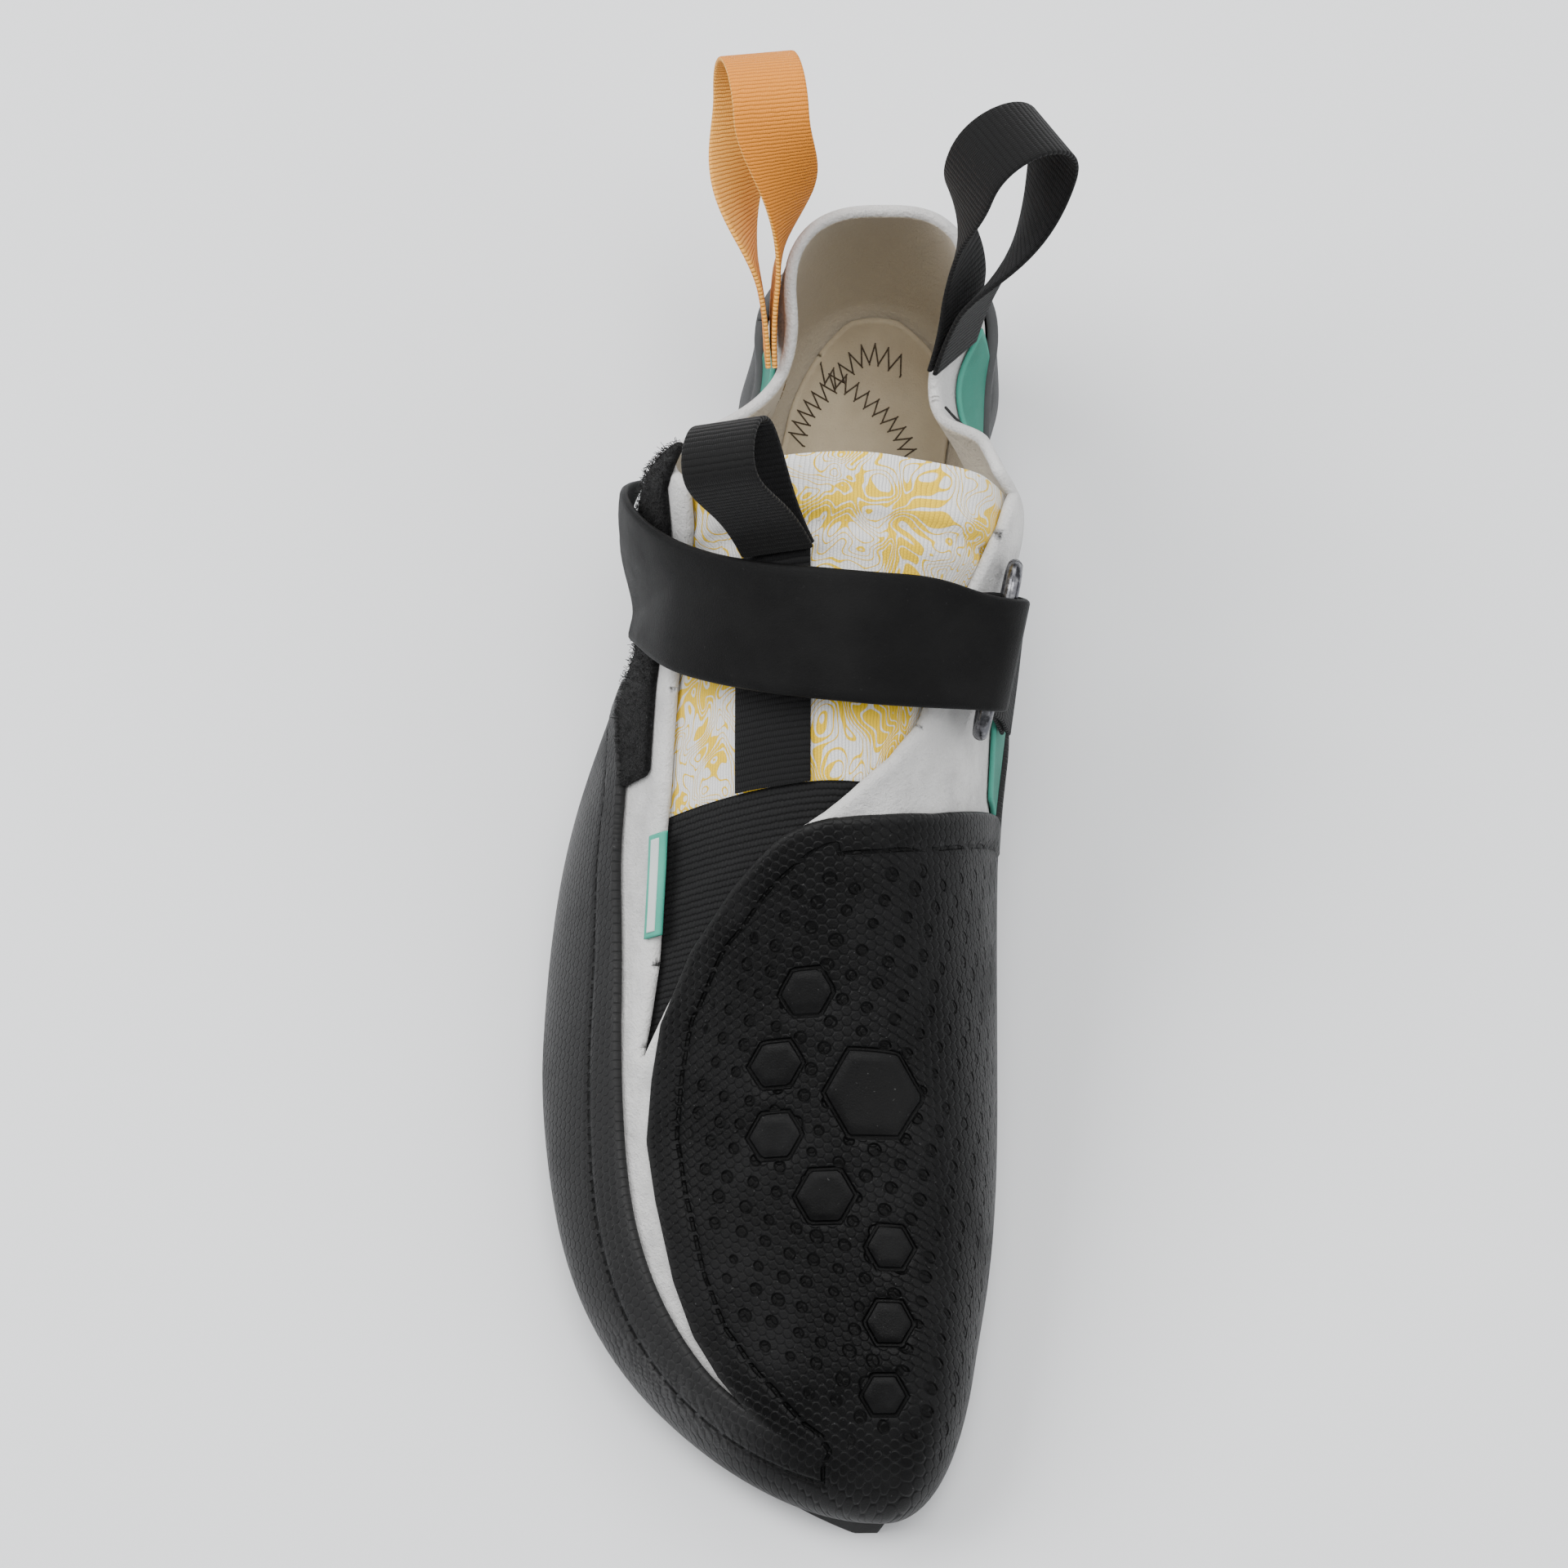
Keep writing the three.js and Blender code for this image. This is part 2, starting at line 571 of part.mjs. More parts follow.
function solidOf(geometry) {
  const bare = geometry.clone();
  for (const name of Object.keys(bare.attributes)) if (name !== "position") bare.deleteAttribute(name);
  const merged = mergeVertices(bare, 1e-4);
  const mesh = new wasm.Mesh({
    numProp: 3,
    vertProperties: merged.attributes.position.array,
    triVerts: new Uint32Array(merged.index.array),
  });
  return new wasm.Manifold(mesh);
}

function geometryFrom(solid) {
  const mesh = solid.getMesh();
  return geometryOf(Array.from(mesh.vertProperties), Array.from(mesh.triVerts));
}

// Level functions: above zero on the piece, in millimetres from its edge where that matters

const collar = splinesOf(collarLine);
const rand = splinesOf(randLine);
const heelRubber = splinesOf(heelRubberLine);
const throatMedial = chainOf(throatLine, "share", "medial");
const throatLateral = chainOf(throatLine, "share", "lateral");
const capLateral = chainOf(capEdge, "share", "lateral");
const capTop = chainOf(capTopLine, "turn", "share");
const panelTop = splinesOf(panelTopLine);

function sideOf(node) {
  return node.turn >= 0 ? "medial" : "lateral";
}

// Above zero over the collar's hole and the throat
function openTop(node) {
  if (node.under) return outside;
  const { x, z } = node.skin;
  const last = collarLine.at(-1).share;
  const overCollar = node.share < last ? z - collar[sideOf(node)](node.share) * instepHeight : outside;
  const first = throatLine[0].share;
  const front = (throatLine.at(-1).share - node.share) * lastLength;
  const back = (node.share - first) * lastLength;
  const inThroat = Math.min(
    throatMedial(node.share) * ballWidth - x,
    x - throatLateral(node.share) * ballWidth,
    front,
    back,
  );
  return Math.max(overCollar, inThroat);
}

// Above zero under the foot: a margin in from the silhouette, and no higher than a rise above the sole's level
function underFoot(node, margin, rise) {
  return node.under ? Math.min(node.inset - margin, rise - node.rise) : Math.min(-margin, rise - node.rise);
}

// Above zero on the toe rubber over the toes and the medial side
function onCap(node) {
  const { x } = node.shell;
  const top = (node.share - capTop(node.turn)) * lastLength;
  if (node.under && node.turn > 0) return top;
  if (node.under) return node.share > joinShare ? 1 : outside;
  const step = 0.01;
  const slope = (capLateral(node.share + step) - capLateral(node.share - step)) * ballWidth;
  const run = Math.hypot(1, slope / (2 * step * lastLength));
  const side = (x - capLateral(node.share) * ballWidth) / run;
  const tip = (node.share - joinShare) * lastLength;
  return node.turn > capTopLine[0].turn ? top : Math.max(side, tip);
}

function onRand(node) {
  const height = rand[sideOf(node)](node.share) * instepHeight - node.shell.z;
  const back = (node.share - randLine[1].share) * lastLength;
  return Math.min(height, back);
}

function onToeRubber(node) {
  const aboveFeather = -underFoot(node, randTurnIn, turnInRise + gap);
  return Math.min(Math.max(onCap(node), onRand(node)), aboveFeather);
}

function onHeelRubber(node) {
  const aboveFeather = -underFoot(node, randTurnIn, turnInRise + gap);
  const height = heelRubber[sideOf(node)](node.share) * instepHeight - node.shell.z;
  const front = (randLine[1].share - node.share) * lastLength - gap;
  const clearOfCap = -Math.max(onCap(node), onRand(node)) - 2 * gap;
  return Math.min(aboveFeather, height, front, clearOfCap);
}

function inThroat(node) {
  if (node.under) return outside;
  const { x } = node.skin;
  return Math.min(
    throatMedial(Math.max(node.share, tongueEdgeShare)) * ballWidth + tongueLap - x,
    x - throatLateral(node.share) * ballWidth + tongueLap,
  );
}

function onTongue(node) {
  const back = (node.share - tongueTopShare) * lastLength;
  const front = (knitShare - node.share) * lastLength - gap / 2;
  return Math.min(inThroat(node), back, front);
}

function onKnit(node) {
  const back = (node.share - knitShare) * lastLength - gap / 2;
  const front = (knitEnd - node.share) * lastLength;
  return Math.min(inThroat(node), back, front);
}

function onPile(node) {
  if (node.under) return outside;
  const { x, z } = node.skin;
  const throatEdge = throatLateral(node.share) * ballWidth - x - pileMargin;
  const back = (node.share - pileBack) * lastLength;
  const front = (pileFront - node.share) * lastLength;
  const low = z - pileLow * instepHeight;
  const clearOfRand = -onRand(node) - 2 * gap;
  return node.turn < 0 ? Math.min(throatEdge, back, front, low, clearOfRand) : outside;
}

function onSidePanel(node, medial) {
  const wanted = medial ? node.turn > 0 : node.turn < 0;
  if (node.under || !wanted) return outside;
  const { z } = node.shell;
  const side = medial ? "medial" : "lateral";
  const high = panelTop[side](node.share) * instepHeight - z;
  const back = (node.share - panelBack) * lastLength;
  const front = (panelFront[side] - node.share) * lastLength;
  const above = -Math.max(onHeelRubber(node), onRand(node), onCap(node)) - 2 * gap;
  return Math.min(high, back, front, above);
}

// The outer sole, trimmed back under the toe's tip
function onSole(node) {
  return underFoot(node, soleInset + soleToeInset * ramp(node.share, 0.84, 0.98), soleWrap);
}

// The outer sole's underside is flat across each section
function treadPlace(node, inner) {
  const out = new THREE.Vector3(node.normal.x, node.normal.y, 0).multiplyScalar(soleFlare);
  return new THREE.Vector3(inner.x + out.x, inner.y + out.y, node.soleFloor);
}

function makeInsole() {
  const cover = cutPiece((node) => underFoot(node, insoleInset, insoleRise), -gap - insoleThickness, -gap);
  const onBoard = (node) => underFoot(node, upperTurnIn + boardMargin, turnInRise - boardMargin);
  const board = cutPiece(onBoard, -gap - insoleThickness / 2, soleLift - gap);
  return geometryFrom(solidOf(cover).add(solidOf(board)));
}

const mid = (a, b, part) => a + (b - a) * part;

// A band across the last between the strap's two edges. runs holds { turn, lift } from one end to the other.
const strapBack = splineOf(strapEdges, "turn", "back");
const strapFront = splineOf(strapEdges, "turn", "front");
const ringShare = (strapBack(ringTurn) + strapFront(ringTurn)) / 2;

function bandRow(turn, lift, across, edgeIn) {
  const row = [];
  for (let c = 0; c <= across; c++) {
    const part = mid(edgeIn, 1 - edgeIn, c / across);
    row.push(onLast(mid(strapBack(turn), strapFront(turn), part), turn, lift));
  }
  return row;
}

// The ends of the ring's upper bar under the strap's edges, and the directions away from the shoe and down its side
function barFrame() {
  const lift = strapLower + foldRadius;
  const back = onLast(strapBack(ringTurn), ringTurn, lift);
  const front = onLast(strapFront(ringTurn), ringTurn, lift);
  const along = front.clone().sub(back).normalize();
  const normal = lastNormal(ringShare, ringTurn);
  normal.addScaledVector(along, -normal.dot(along)).normalize();
  const down = new THREE.Vector3().crossVectors(along, normal).normalize();
  if (down.z > 0) down.negate();
  return { back, front, along, normal, down };
}

// Rows round the bar, from the lower run's level to the upper run's
function foldRows(across, steps) {
  const { back, front, normal, down } = barFrame();
  const rows = [];
  for (let k = 0; k <= steps; k++) {
    const angle = -Math.PI / 2 + (Math.PI * k) / steps;
    const out = normal.clone().multiplyScalar(Math.sin(angle)).addScaledVector(down, Math.cos(angle));
    const row = [];
    for (let c = 0; c <= across; c++) row.push({ centre: back.clone().lerp(front, c / across), out });
    rows.push(row);
  }
  return rows;
}

function makeStrap() {
  const across = 3;
  const half = strapThickness / 2;
  const upperLift = strapLower + strapThickness + gap;
  const barLift = strapLower + foldRadius;
  const outer = [];
  const inner = [];
  const lowerRun = 7;
  for (let k = 0; k <= lowerRun; k++) {
    const turn = mid(strapRoot, ringTurn, k / (lowerRun + 1));
    outer.push(bandRow(turn, strapLower - half, across, 0.06));
    inner.push(bandRow(turn, strapLower + half, across, 0.06));
  }
  for (const row of foldRows(across, 6)) {
    outer.push(row.map((p) => p.centre.clone().addScaledVector(p.out, foldRadius + half)));
    inner.push(row.map((p) => p.centre.clone().addScaledVector(p.out, foldRadius - half)));
  }
  const upperRun = 14;
  for (let k = 1; k <= upperRun; k++) {
    const turn = mid(ringTurn, strapEnd, k / upperRun);
    const drop = ramp(-turn, -strapRoot, -strapRoot + 0.09);
    const rise = ramp(turn, ringTurn - 0.07, ringTurn);
    const lift = mid(mid(upperLift, strapLower, drop), barLift + foldRadius, rise);
    outer.push(bandRow(turn, lift + half, across, 0));
    inner.push(bandRow(turn, lift - half, across, 0));
  }
  return slab(outer, inner);
}

// The ring: a rounded rectangle of rod, its upper bar in the strap's fold and its lower bar in the tab's
const tabLower = rubberLift + panelThickness + gap + webbingThickness / 2;
const tabFold = ringRadius + gap + webbingThickness / 2;

function lowerBarTurn() {
  const upper = onLast(ringShare, ringTurn, strapLower + foldRadius);
  let turn = ringTurn;
  while (onLast(ringShare, turn, tabLower + tabFold).distanceTo(upper) < ringDepth - ringRod) turn += 0.0005;
  return turn;
}
const tabTurn = lowerBarTurn();

function ringFrame() {
  const { back, front, along } = barFrame();
  const centre = back.clone().lerp(front, 0.5);
  const down = onLast(ringShare, tabTurn, tabLower + tabFold).sub(centre);
  down.addScaledVector(along, -down.dot(along)).normalize();
  return { centre, along, down };
}

// The tab of webbing that holds the ring: up behind the lower bar, over it and down again
function makeTab() {
  const half = webbingThickness / 2;
  const reach = tabWidth / 2 / lastLength;
  const { centre, along, down } = ringFrame();
  const bar = centre.clone().addScaledVector(down, ringDepth - ringRod);
  const edges = [-1, 1];
  const steps = 4;
  const outer = [];
  const inner = [];
  const leg = (turn, lift, first, second) => {
    first.push(edges.map((e) => onLast(ringShare + e * reach, turn, lift - half)));
    second.push(edges.map((e) => onLast(ringShare + e * reach, turn, lift + half)));
  };
  for (let k = 0; k < steps; k++) leg(mid(tabEnd, tabTurn + 0.018, k / (steps - 1)), tabLower, outer, inner);
  const normal = new THREE.Vector3().crossVectors(down, along).normalize();
  if (normal.x < 0) normal.negate();
  for (let k = 0; k <= 6; k++) {
    const angle = -Math.PI / 2 + (Math.PI * k) / 6;
    const out = normal.clone().multiplyScalar(Math.sin(angle)).addScaledVector(down, -Math.cos(angle));
    const at = (e, r) => bar.clone().addScaledVector(along, (e * tabWidth) / 2).addScaledVector(out, r);
    outer.push(edges.map((e) => at(e, tabFold + half)));
    inner.push(edges.map((e) => at(e, tabFold - half)));
  }
  const upper = tabLower + webbingThickness + gap;
  for (let k = 0; k < steps; k++) leg(mid(tabTurn + 0.02, tabEnd, k / (steps - 1)), upper, inner, outer);
  return slab(inner, outer);
}

function makeRing() {
  const { centre, along, down } = ringFrame();
  const corners = [];
  const w = ringSpan / 2 - ringCorner;
  const h = ringDepth - ringRod - ringCorner;
  const arcs = [
    { a: w, d: ringCorner, from: -Math.PI / 2 },
    { a: w, d: h, from: 0 },
    { a: -w, d: h, from: Math.PI / 2 },
    { a: -w, d: ringCorner, from: Math.PI },
  ];
  for (const arc of arcs) {
    for (let k = 0; k <= 4; k++) {
      const angle = arc.from + (Math.PI / 2) * (k / 4);
      const a = arc.a + ringCorner * Math.cos(angle);
      const d = arc.d + ringCorner * Math.sin(angle);
      corners.push(centre.clone().addScaledVector(along, a).addScaledVector(down, d));
    }
  }
  return tubeAlong(corners, ringRadius, 8);
}

// A closed rod along a ring of points
function tubeAlong(points, radius, sides) {
  const n = points.length;
  const middle = points.reduce((sum, p) => sum.add(p), new THREE.Vector3()).divideScalar(n);
  const plane = new THREE.Vector3();
  points.forEach((p, k) => {
    plane.add(p.clone().sub(middle).cross(points[(k + 1) % n].clone().sub(middle)));
  });
  plane.normalize();
  const positions = [];
  const indices = [];
  points.forEach((p, k) => {
    const tangent = points[(k + 1) % n].clone().sub(points[(k + n - 1) % n]).normalize();
    const side = new THREE.Vector3().crossVectors(tangent, plane).normalize();
    for (let s = 0; s < sides; s++) {
      const angle = (2 * Math.PI * s) / sides;
      const q = p.clone().addScaledVector(side, radius * Math.cos(angle));
      q.addScaledVector(plane, radius * Math.sin(angle));
      positions.push(...q.toArray());
      const a = k * sides + s;
      const b = k * sides + ((s + 1) % sides);
      const c = ((k + 1) % n) * sides + s;
      const d = ((k + 1) % n) * sides + ((s + 1) % sides);
      indices.push(a, c, b, b, c, d);
    }
  });
  return geometryOf(positions, indices);
}

const dropFullness = 0.965; // makes the widest place of the drop as wide as the opening says

// A band that comes up from a sewn root, turns over and goes back, opening like a drop
function makeLoop({ root, rise, across, length, opening, width, twist, steps }) {
  const outer = [];
  const inner = [];
  const half = webbingThickness / 2;
  const centre = (k) => {
    const angle = (2 * Math.PI * k) / steps;
    const up = (1 - Math.cos(angle)) / 2;
    const open = Math.sin(angle) * up * up * opening * dropFullness;
    const turn = twist * ramp(up, 0.25, 0.85);
    const side = new THREE.Vector3().crossVectors(across, rise).normalize();
    const wide = across.clone().multiplyScalar(Math.cos(turn)).addScaledVector(side, Math.sin(turn));
    const apart = side.clone().multiplyScalar(Math.cos(turn)).addScaledVector(across, -Math.sin(turn));
    const legs = (webbingThickness + gap) / 2;
    const spread = open + (angle < Math.PI ? legs : -legs) * (1 - hump(angle, Math.PI, 0.9));
    const p = root.clone().addScaledVector(rise, length * up).addScaledVector(apart, spread);
    return { p, wide };
  };
  for (let k = 0; k <= steps; k++) {
    const { p, wide } = centre(k);
    const [before, after] = [centre(Math.max(k - 0.5, 0)).p, centre(Math.min(k + 0.5, steps)).p];
    const along = after.sub(before).normalize();
    const out = new THREE.Vector3().crossVectors(along, wide).normalize();
    const edge = (side, lift) => p.clone().addScaledVector(wide, (side * width) / 2).addScaledVector(out, lift);
    outer.push([edge(-1, half), edge(1, half)]);
    inner.push([edge(-1, -half), edge(1, -half)]);
  }
  return slab(outer, inner);
}

// The turn round the last where the upper's outer face has the given x, on the lateral side
function lateralTurnAt(share, x) {
  let [low, high] = [-0.3, 0];
  for (let k = 0; k < 30; k++) {
    const middle = (low + high) / 2;
    if (onLast(share, middle, upperWall).x < x) low = middle;
    else high = middle;
  }
  return (low + high) / 2;
}

// A strip that lies along the shoe on the last's lateral half, between two values of x
function stripAlong({ back, front, steps, edges, low, high }) {
  const outer = [];
  const inner = [];
  for (let k = 0; k <= steps; k++) {
    const share = mid(back, front, k / steps);
    const turns = edges(share).map((x) => lateralTurnAt(share, x));
    outer.push(turns.map((turn) => onLast(share, turn, high)));
    inner.push(turns.map((turn) => onLast(share, turn, low)));
  }
  return slab(outer, inner);
}

// The tag over the throat's lateral edge
function makeTag() {
  const edges = (share) => {
    const edge = throatLateral(share) * ballWidth - tagLap;
    return [edge, edge + tagWidth];
  };
  return stripAlong({
    back: tagBack,
    front: tagFront,
    steps: 5,
    edges,
    low: rubberLift,
    high: rubberLift + tagThickness,
  });
}

// The centre tape, sewn on the tongue
function makeTape() {
  const middle = tapePlace * ballWidth;
  const edges = () => [-1, -0.5, 0, 0.5, 1].map((side) => middle + (side * tapeWidth) / 2);
  return stripAlong({
    back: tapeStart,
    front: knitShare + tapeTuck,
    steps: 8,
    edges,
    low: tapeClearance,
    high: tapeClearance + webbingThickness,
  });
}

// A pull loop sewn to the outside of the collar
function makeHeelLoop({ share, turn, rise, lean, twist, standOff }) {
  const normal = lastNormal(share, turn);
  const lift = upperWall + standOff + gap / 2 + webbingThickness;
  const flat = rise.clone().addScaledVector(normal, lean - rise.dot(normal)).normalize();
  const across = new THREE.Vector3().crossVectors(flat, normal).normalize();
  return makeLoop({
    root: onLast(share, turn, lift),
    rise: flat,
    across,
    length: heelLoopLength,
    opening: heelLoopOpening,
    width: tapeWidth,
    twist,
    steps: 26,
  });
}

// Where each heel loop is sewn, which way it rises, how far it leans off the collar and how much it twists
const lateralLoop = {
  share: 0.125,
  turn: -0.175,
  rise: new THREE.Vector3(0.05, 0.765, 0.64),
  lean: 0.245,
  twist: 1.4,
  standOff: 1.1,
};
const medialLoop = {
  share: 0.12,
  turn: 0.15,
  rise: new THREE.Vector3(0.05, 0.48, 0.86),
  lean: 0.1,
  twist: -1.2,
  standOff: 0.3,
};

function makeFrontLoop() {
  const rise = new THREE.Vector3(-0.36, 0.42, 0.83).normalize();
  const wide = new THREE.Vector3(0.95, -0.2, 0);
  wide.addScaledVector(rise, -wide.dot(rise)).normalize();
  return makeLoop({
    root: onLast(frontLoopShare, tapeTurn, frontLoopLift),
    rise,
    across: wide,
    length: frontLoopLength,
    opening: frontLoopOpening,
    width: tapeWidth,
    twist: 0,
    steps: 20,
  });
}

// Materials
const material = (color, roughness, metalness = 0) => new THREE.MeshStandardMaterial({ color, roughness, metalness });
const suede = material("#c2bfba", 0.95);
const lining = material("#a8977a", 0.9);
const blackRubber = material("#262628", 0.55);
const greyRubber = material("#3c3c3e", 0.6);
const stretch = material("#d8d3c0", 0.7);
const knit = material("#202022", 0.9);
const pile = material("#18181a", 0.95);
const tealLeather = material("#4a6862", 0.6);
const tealRubber = material("#4f9985", 0.5);
const orangeWebbing = material("#e59a3d", 0.7);
const blackWebbing = material("#161617", 0.75);
const gunmetal = material("#55555a", 0.35, 1);

const shoe = new THREE.Group();
function add(name, geometry, finish) {
  const mesh = new THREE.Mesh(geometry, finish);
  mesh.name = name;
  shoe.add(mesh);
}

const upperLevel = (node) => Math.min(-openTop(node), -underFoot(node, upperTurnIn, turnInRise));
add("upper", cutPiece(upperLevel, 0, upperWall), suede);
add("insole", makeInsole(), lining);
add("outsole", cutPiece(onSole, soleLift, 0, treadPlace), blackRubber);
add("toe_rubber", cutPiece(onToeRubber, rubberLift, rubberLift + rubberWall), blackRubber);
add("heel_rubber", cutPiece(onHeelRubber, rubberLift, rubberLift + rubberWall), greyRubber);
add("tongue", cutPiece(onTongue, -gap - knitThickness, -gap), stretch);
add("vamp_knit", cutPiece(onKnit, -gap - knitThickness, -gap), knit);
add("strap_pile", cutPiece(onPile, rubberLift, pileTop), pile);
add("medial_panel", cutPiece((n) => onSidePanel(n, true), rubberLift, rubberLift + panelThickness), tealLeather);
add("lateral_panel", cutPiece((n) => onSidePanel(n, false), rubberLift, rubberLift + panelThickness), tealLeather);
add("strap", makeStrap(), blackRubber);
add("ring", makeRing(), gunmetal);
add("ring_tab", makeTab(), blackWebbing);
add("centre_tape", makeTape(), blackWebbing);
add("side_tag", makeTag(), tealRubber);
add("front_loop", makeFrontLoop(), blackWebbing);
for (const [name, place, finish] of [
  ["heel_loop_lateral", lateralLoop, orangeWebbing],
  ["heel_loop_medial", medialLoop, blackWebbing],
]) {
  add(name, makeHeelLoop(place), finish);
}

export default shoe;
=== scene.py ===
# %% [markdown]
# A climbing shoe for the right foot, seen from above with the toe towards the viewer.
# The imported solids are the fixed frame. Every visible piece is made again here on the same last, at a finer
# grid, and stands for its solid: that keeps the sizes and lets each edge, seam and crease be its real shape.

# %% The frame and what the script needs
import math

import bpy
from mathutils.bvhtree import BVHTree
import numpy as np
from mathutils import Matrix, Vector


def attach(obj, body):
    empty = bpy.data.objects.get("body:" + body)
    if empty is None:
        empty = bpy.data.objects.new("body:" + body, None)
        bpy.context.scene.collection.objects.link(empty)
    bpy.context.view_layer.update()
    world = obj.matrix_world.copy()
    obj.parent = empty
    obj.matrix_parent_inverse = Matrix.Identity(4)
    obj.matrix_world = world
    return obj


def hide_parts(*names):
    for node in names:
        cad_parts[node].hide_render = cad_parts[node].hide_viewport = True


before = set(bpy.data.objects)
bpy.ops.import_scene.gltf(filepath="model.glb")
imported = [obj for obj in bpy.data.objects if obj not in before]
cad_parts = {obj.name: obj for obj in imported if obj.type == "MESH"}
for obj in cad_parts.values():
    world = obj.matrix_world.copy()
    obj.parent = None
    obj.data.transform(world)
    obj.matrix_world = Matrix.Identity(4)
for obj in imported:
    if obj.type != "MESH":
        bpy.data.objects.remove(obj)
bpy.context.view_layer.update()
MM = 0.001
UV_SPAN = 100.0  # millimetres in one unit of a piece's UV map

# %% [markdown]
# The camera comes first. The photo looks down on the shoe from the toe's side, about 70 degrees above the
# floor, through a long lens. A long lens keeps parallel lines parallel, so its distance hardly matters.

# %% Camera, floor and light
VIEW_ELEVATION = math.radians(70)
VIEW_DISTANCE = 1.4
VIEW_AIM = Vector((-0.0163, -0.0812, 0.040))
VIEW_LENS = 162.7
FLOOR_SIDE = 6.0


def make_camera():
    lens = bpy.data.cameras.new("camera")
    lens.lens = VIEW_LENS
    lens.sensor_width = 36
    camera = bpy.data.objects.new("camera", lens)
    bpy.context.scene.collection.objects.link(camera)
    back = Vector((0, -math.cos(VIEW_ELEVATION), math.sin(VIEW_ELEVATION)))
    camera.location = VIEW_AIM + back * VIEW_DISTANCE
    camera.rotation_euler = (-back).to_track_quat("-Z", "Y").to_euler()
    bpy.context.scene.camera = camera


def make_softbox(name, place, aim, side, watts, tint=(1, 1, 1)):
    light = bpy.data.lights.new(name, "AREA")
    light.shape = "SQUARE"
    light.size = side
    light.energy = watts
    light.color = tint
    box = bpy.data.objects.new(name, light)
    box.location = place
    box.rotation_euler = (Vector(aim) - Vector(place)).to_track_quat("-Z", "Y").to_euler()
    bpy.context.scene.collection.objects.link(box)


def make_floor():
    half = FLOOR_SIDE / 2
    mesh = bpy.data.meshes.new("floor")
    corners = [(-half, -half, 0), (half, -half, 0), (half, half, 0), (-half, half, 0)]
    mesh.from_pydata(corners, [], [(0, 1, 2, 3)])
    floor = bpy.data.objects.new("floor", mesh)
    bpy.context.scene.collection.objects.link(floor)
    paper = bpy.data.materials.new("pale paper")
    paper.use_nodes = True
    shader = paper.node_tree.nodes["Principled BSDF"]
    shader.inputs["Base Color"].default_value = (0.80, 0.81, 0.825, 1)
    shader.inputs["Roughness"].default_value = 0.9
    mesh.materials.append(paper)


make_camera()
make_floor()
make_softbox("key", (-1.1, 0.1, 1.3), (0, -0.08, 0), 1.1, 29)
make_softbox("fill", (1.2, -0.3, 1.2), (0, -0.08, 0), 1.6, 17)
make_softbox("back", (0.0, 1.3, 1.1), (0, -0.05, 0.02), 1.2, 17)
make_softbox("top", (0.1, -0.25, 1.9), (0, -0.08, 0), 0.8, 21)
world = bpy.data.worlds.new("studio")
bpy.context.scene.world = world
world.use_nodes = True
world.node_tree.nodes["Background"].inputs["Color"].default_value = (0.86, 0.87, 0.885, 1)
world.node_tree.nodes["Background"].inputs["Strength"].default_value = 0.4
print("camera, floor and four soft lights")

# %% [markdown]
# A shoe is built on a last, the foot-shaped form. Its sections are worked out from four sizes (length, ball
# width, instep height, arch rise) and tables of shares, one row for a section. The tables are the solids'
# own,
# so what is made here lies on them.

# %% Sizes, in millimetres
LAST_LENGTH = 249.0
HEEL_BACK = 29.0
BALL_WIDTH = 80.0
INSTEP_HEIGHT = 100.0
ARCH_RISE = 13.0
UPPER_WALL = 2.0
RUBBER_WALL = 1.8
SOLE_THICKNESS = 4.0
SOLE_WEAR = 0.5
GAP = 0.3
RUBBER_LIFT = UPPER_WALL + GAP
SOLE_LIFT = RUBBER_LIFT + RUBBER_WALL + GAP
SEAT = SOLE_LIFT + SOLE_THICKNESS

# %% The last's tables
PLAN_TABLE = {
    "share": (0.0, 0.05, 0.12, 0.2, 0.28, 0.36, 0.45, 0.54, 0.64, 0.74, 0.83, 0.91, 1.0),
    "medial": (0.285, 0.285, 0.262, 0.278, 0.335, 0.342, 0.31, 0.298, 0.29, 0.276, 0.234, 0.18, 0.15),
    "lateral": (0.235, 0.24, 0.27, 0.33, 0.42, 0.53, 0.645, 0.705, 0.735, 0.755, 0.79, 0.79, 0.72),
    "ridge": (0.045, 0.04, 0.02, -0.02, -0.05, -0.06, -0.07, -0.07, -0.06, -0.05, -0.02, 0.02, 0.05),
    "shift": (0.019, 0.011, 0.0, -0.012, -0.024, -0.026, -0.026, -0.024, -0.017, -0.008, 0.009, 0.023, 0.038),
}
PROFILE_TABLE = {
    "share": PLAN_TABLE["share"],
    "top": (0.9, 0.95, 0.96, 1.02, 1.06, 0.98, 0.86, 0.73, 0.6, 0.49, 0.4, 0.33, 0.27),
    "wide_m": (0.27, 0.27, 0.28, 0.42, 0.48, 0.4, 0.3, 0.21, 0.165, 0.148, 0.14, 0.135, 0.13),
    "wide_l": (0.27, 0.27, 0.3, 0.42, 0.42, 0.32, 0.23, 0.175, 0.15, 0.14, 0.135, 0.132, 0.13),
    "bottom": (0.55, 0.15, 0.0, 0.15, 0.6, 0.95, 0.95, 0.6, 0.12, 0.0, 0.0, 0.0, 0.0),
    "bow_m": (3.0, 3.0, 2.6, 2.4, 2.4, 2.3, 2.2, 2.2, 2.3, 2.4, 2.4, 2.4, 2.4),
    "bow_l": (3.0, 3.0, 2.6, 2.3, 2.2, 1.9, 1.65, 1.5, 1.5, 1.6, 1.8, 2.0, 2.2),
    "bow_b": (2.2, 2.4, 2.6, 2.8, 2.9, 2.9, 2.9, 3.2, 3.6, 3.8, 3.6, 3.2, 2.8),
}
ROUNDS = {
    "heel": 22.0, "heel_top": 15.0, "heel_bottom": 14.0,
    "toe_medial": 26.0, "toe_lateral": 92.0, "toe_top": 24.0, "toe_bottom": 16.0,
}
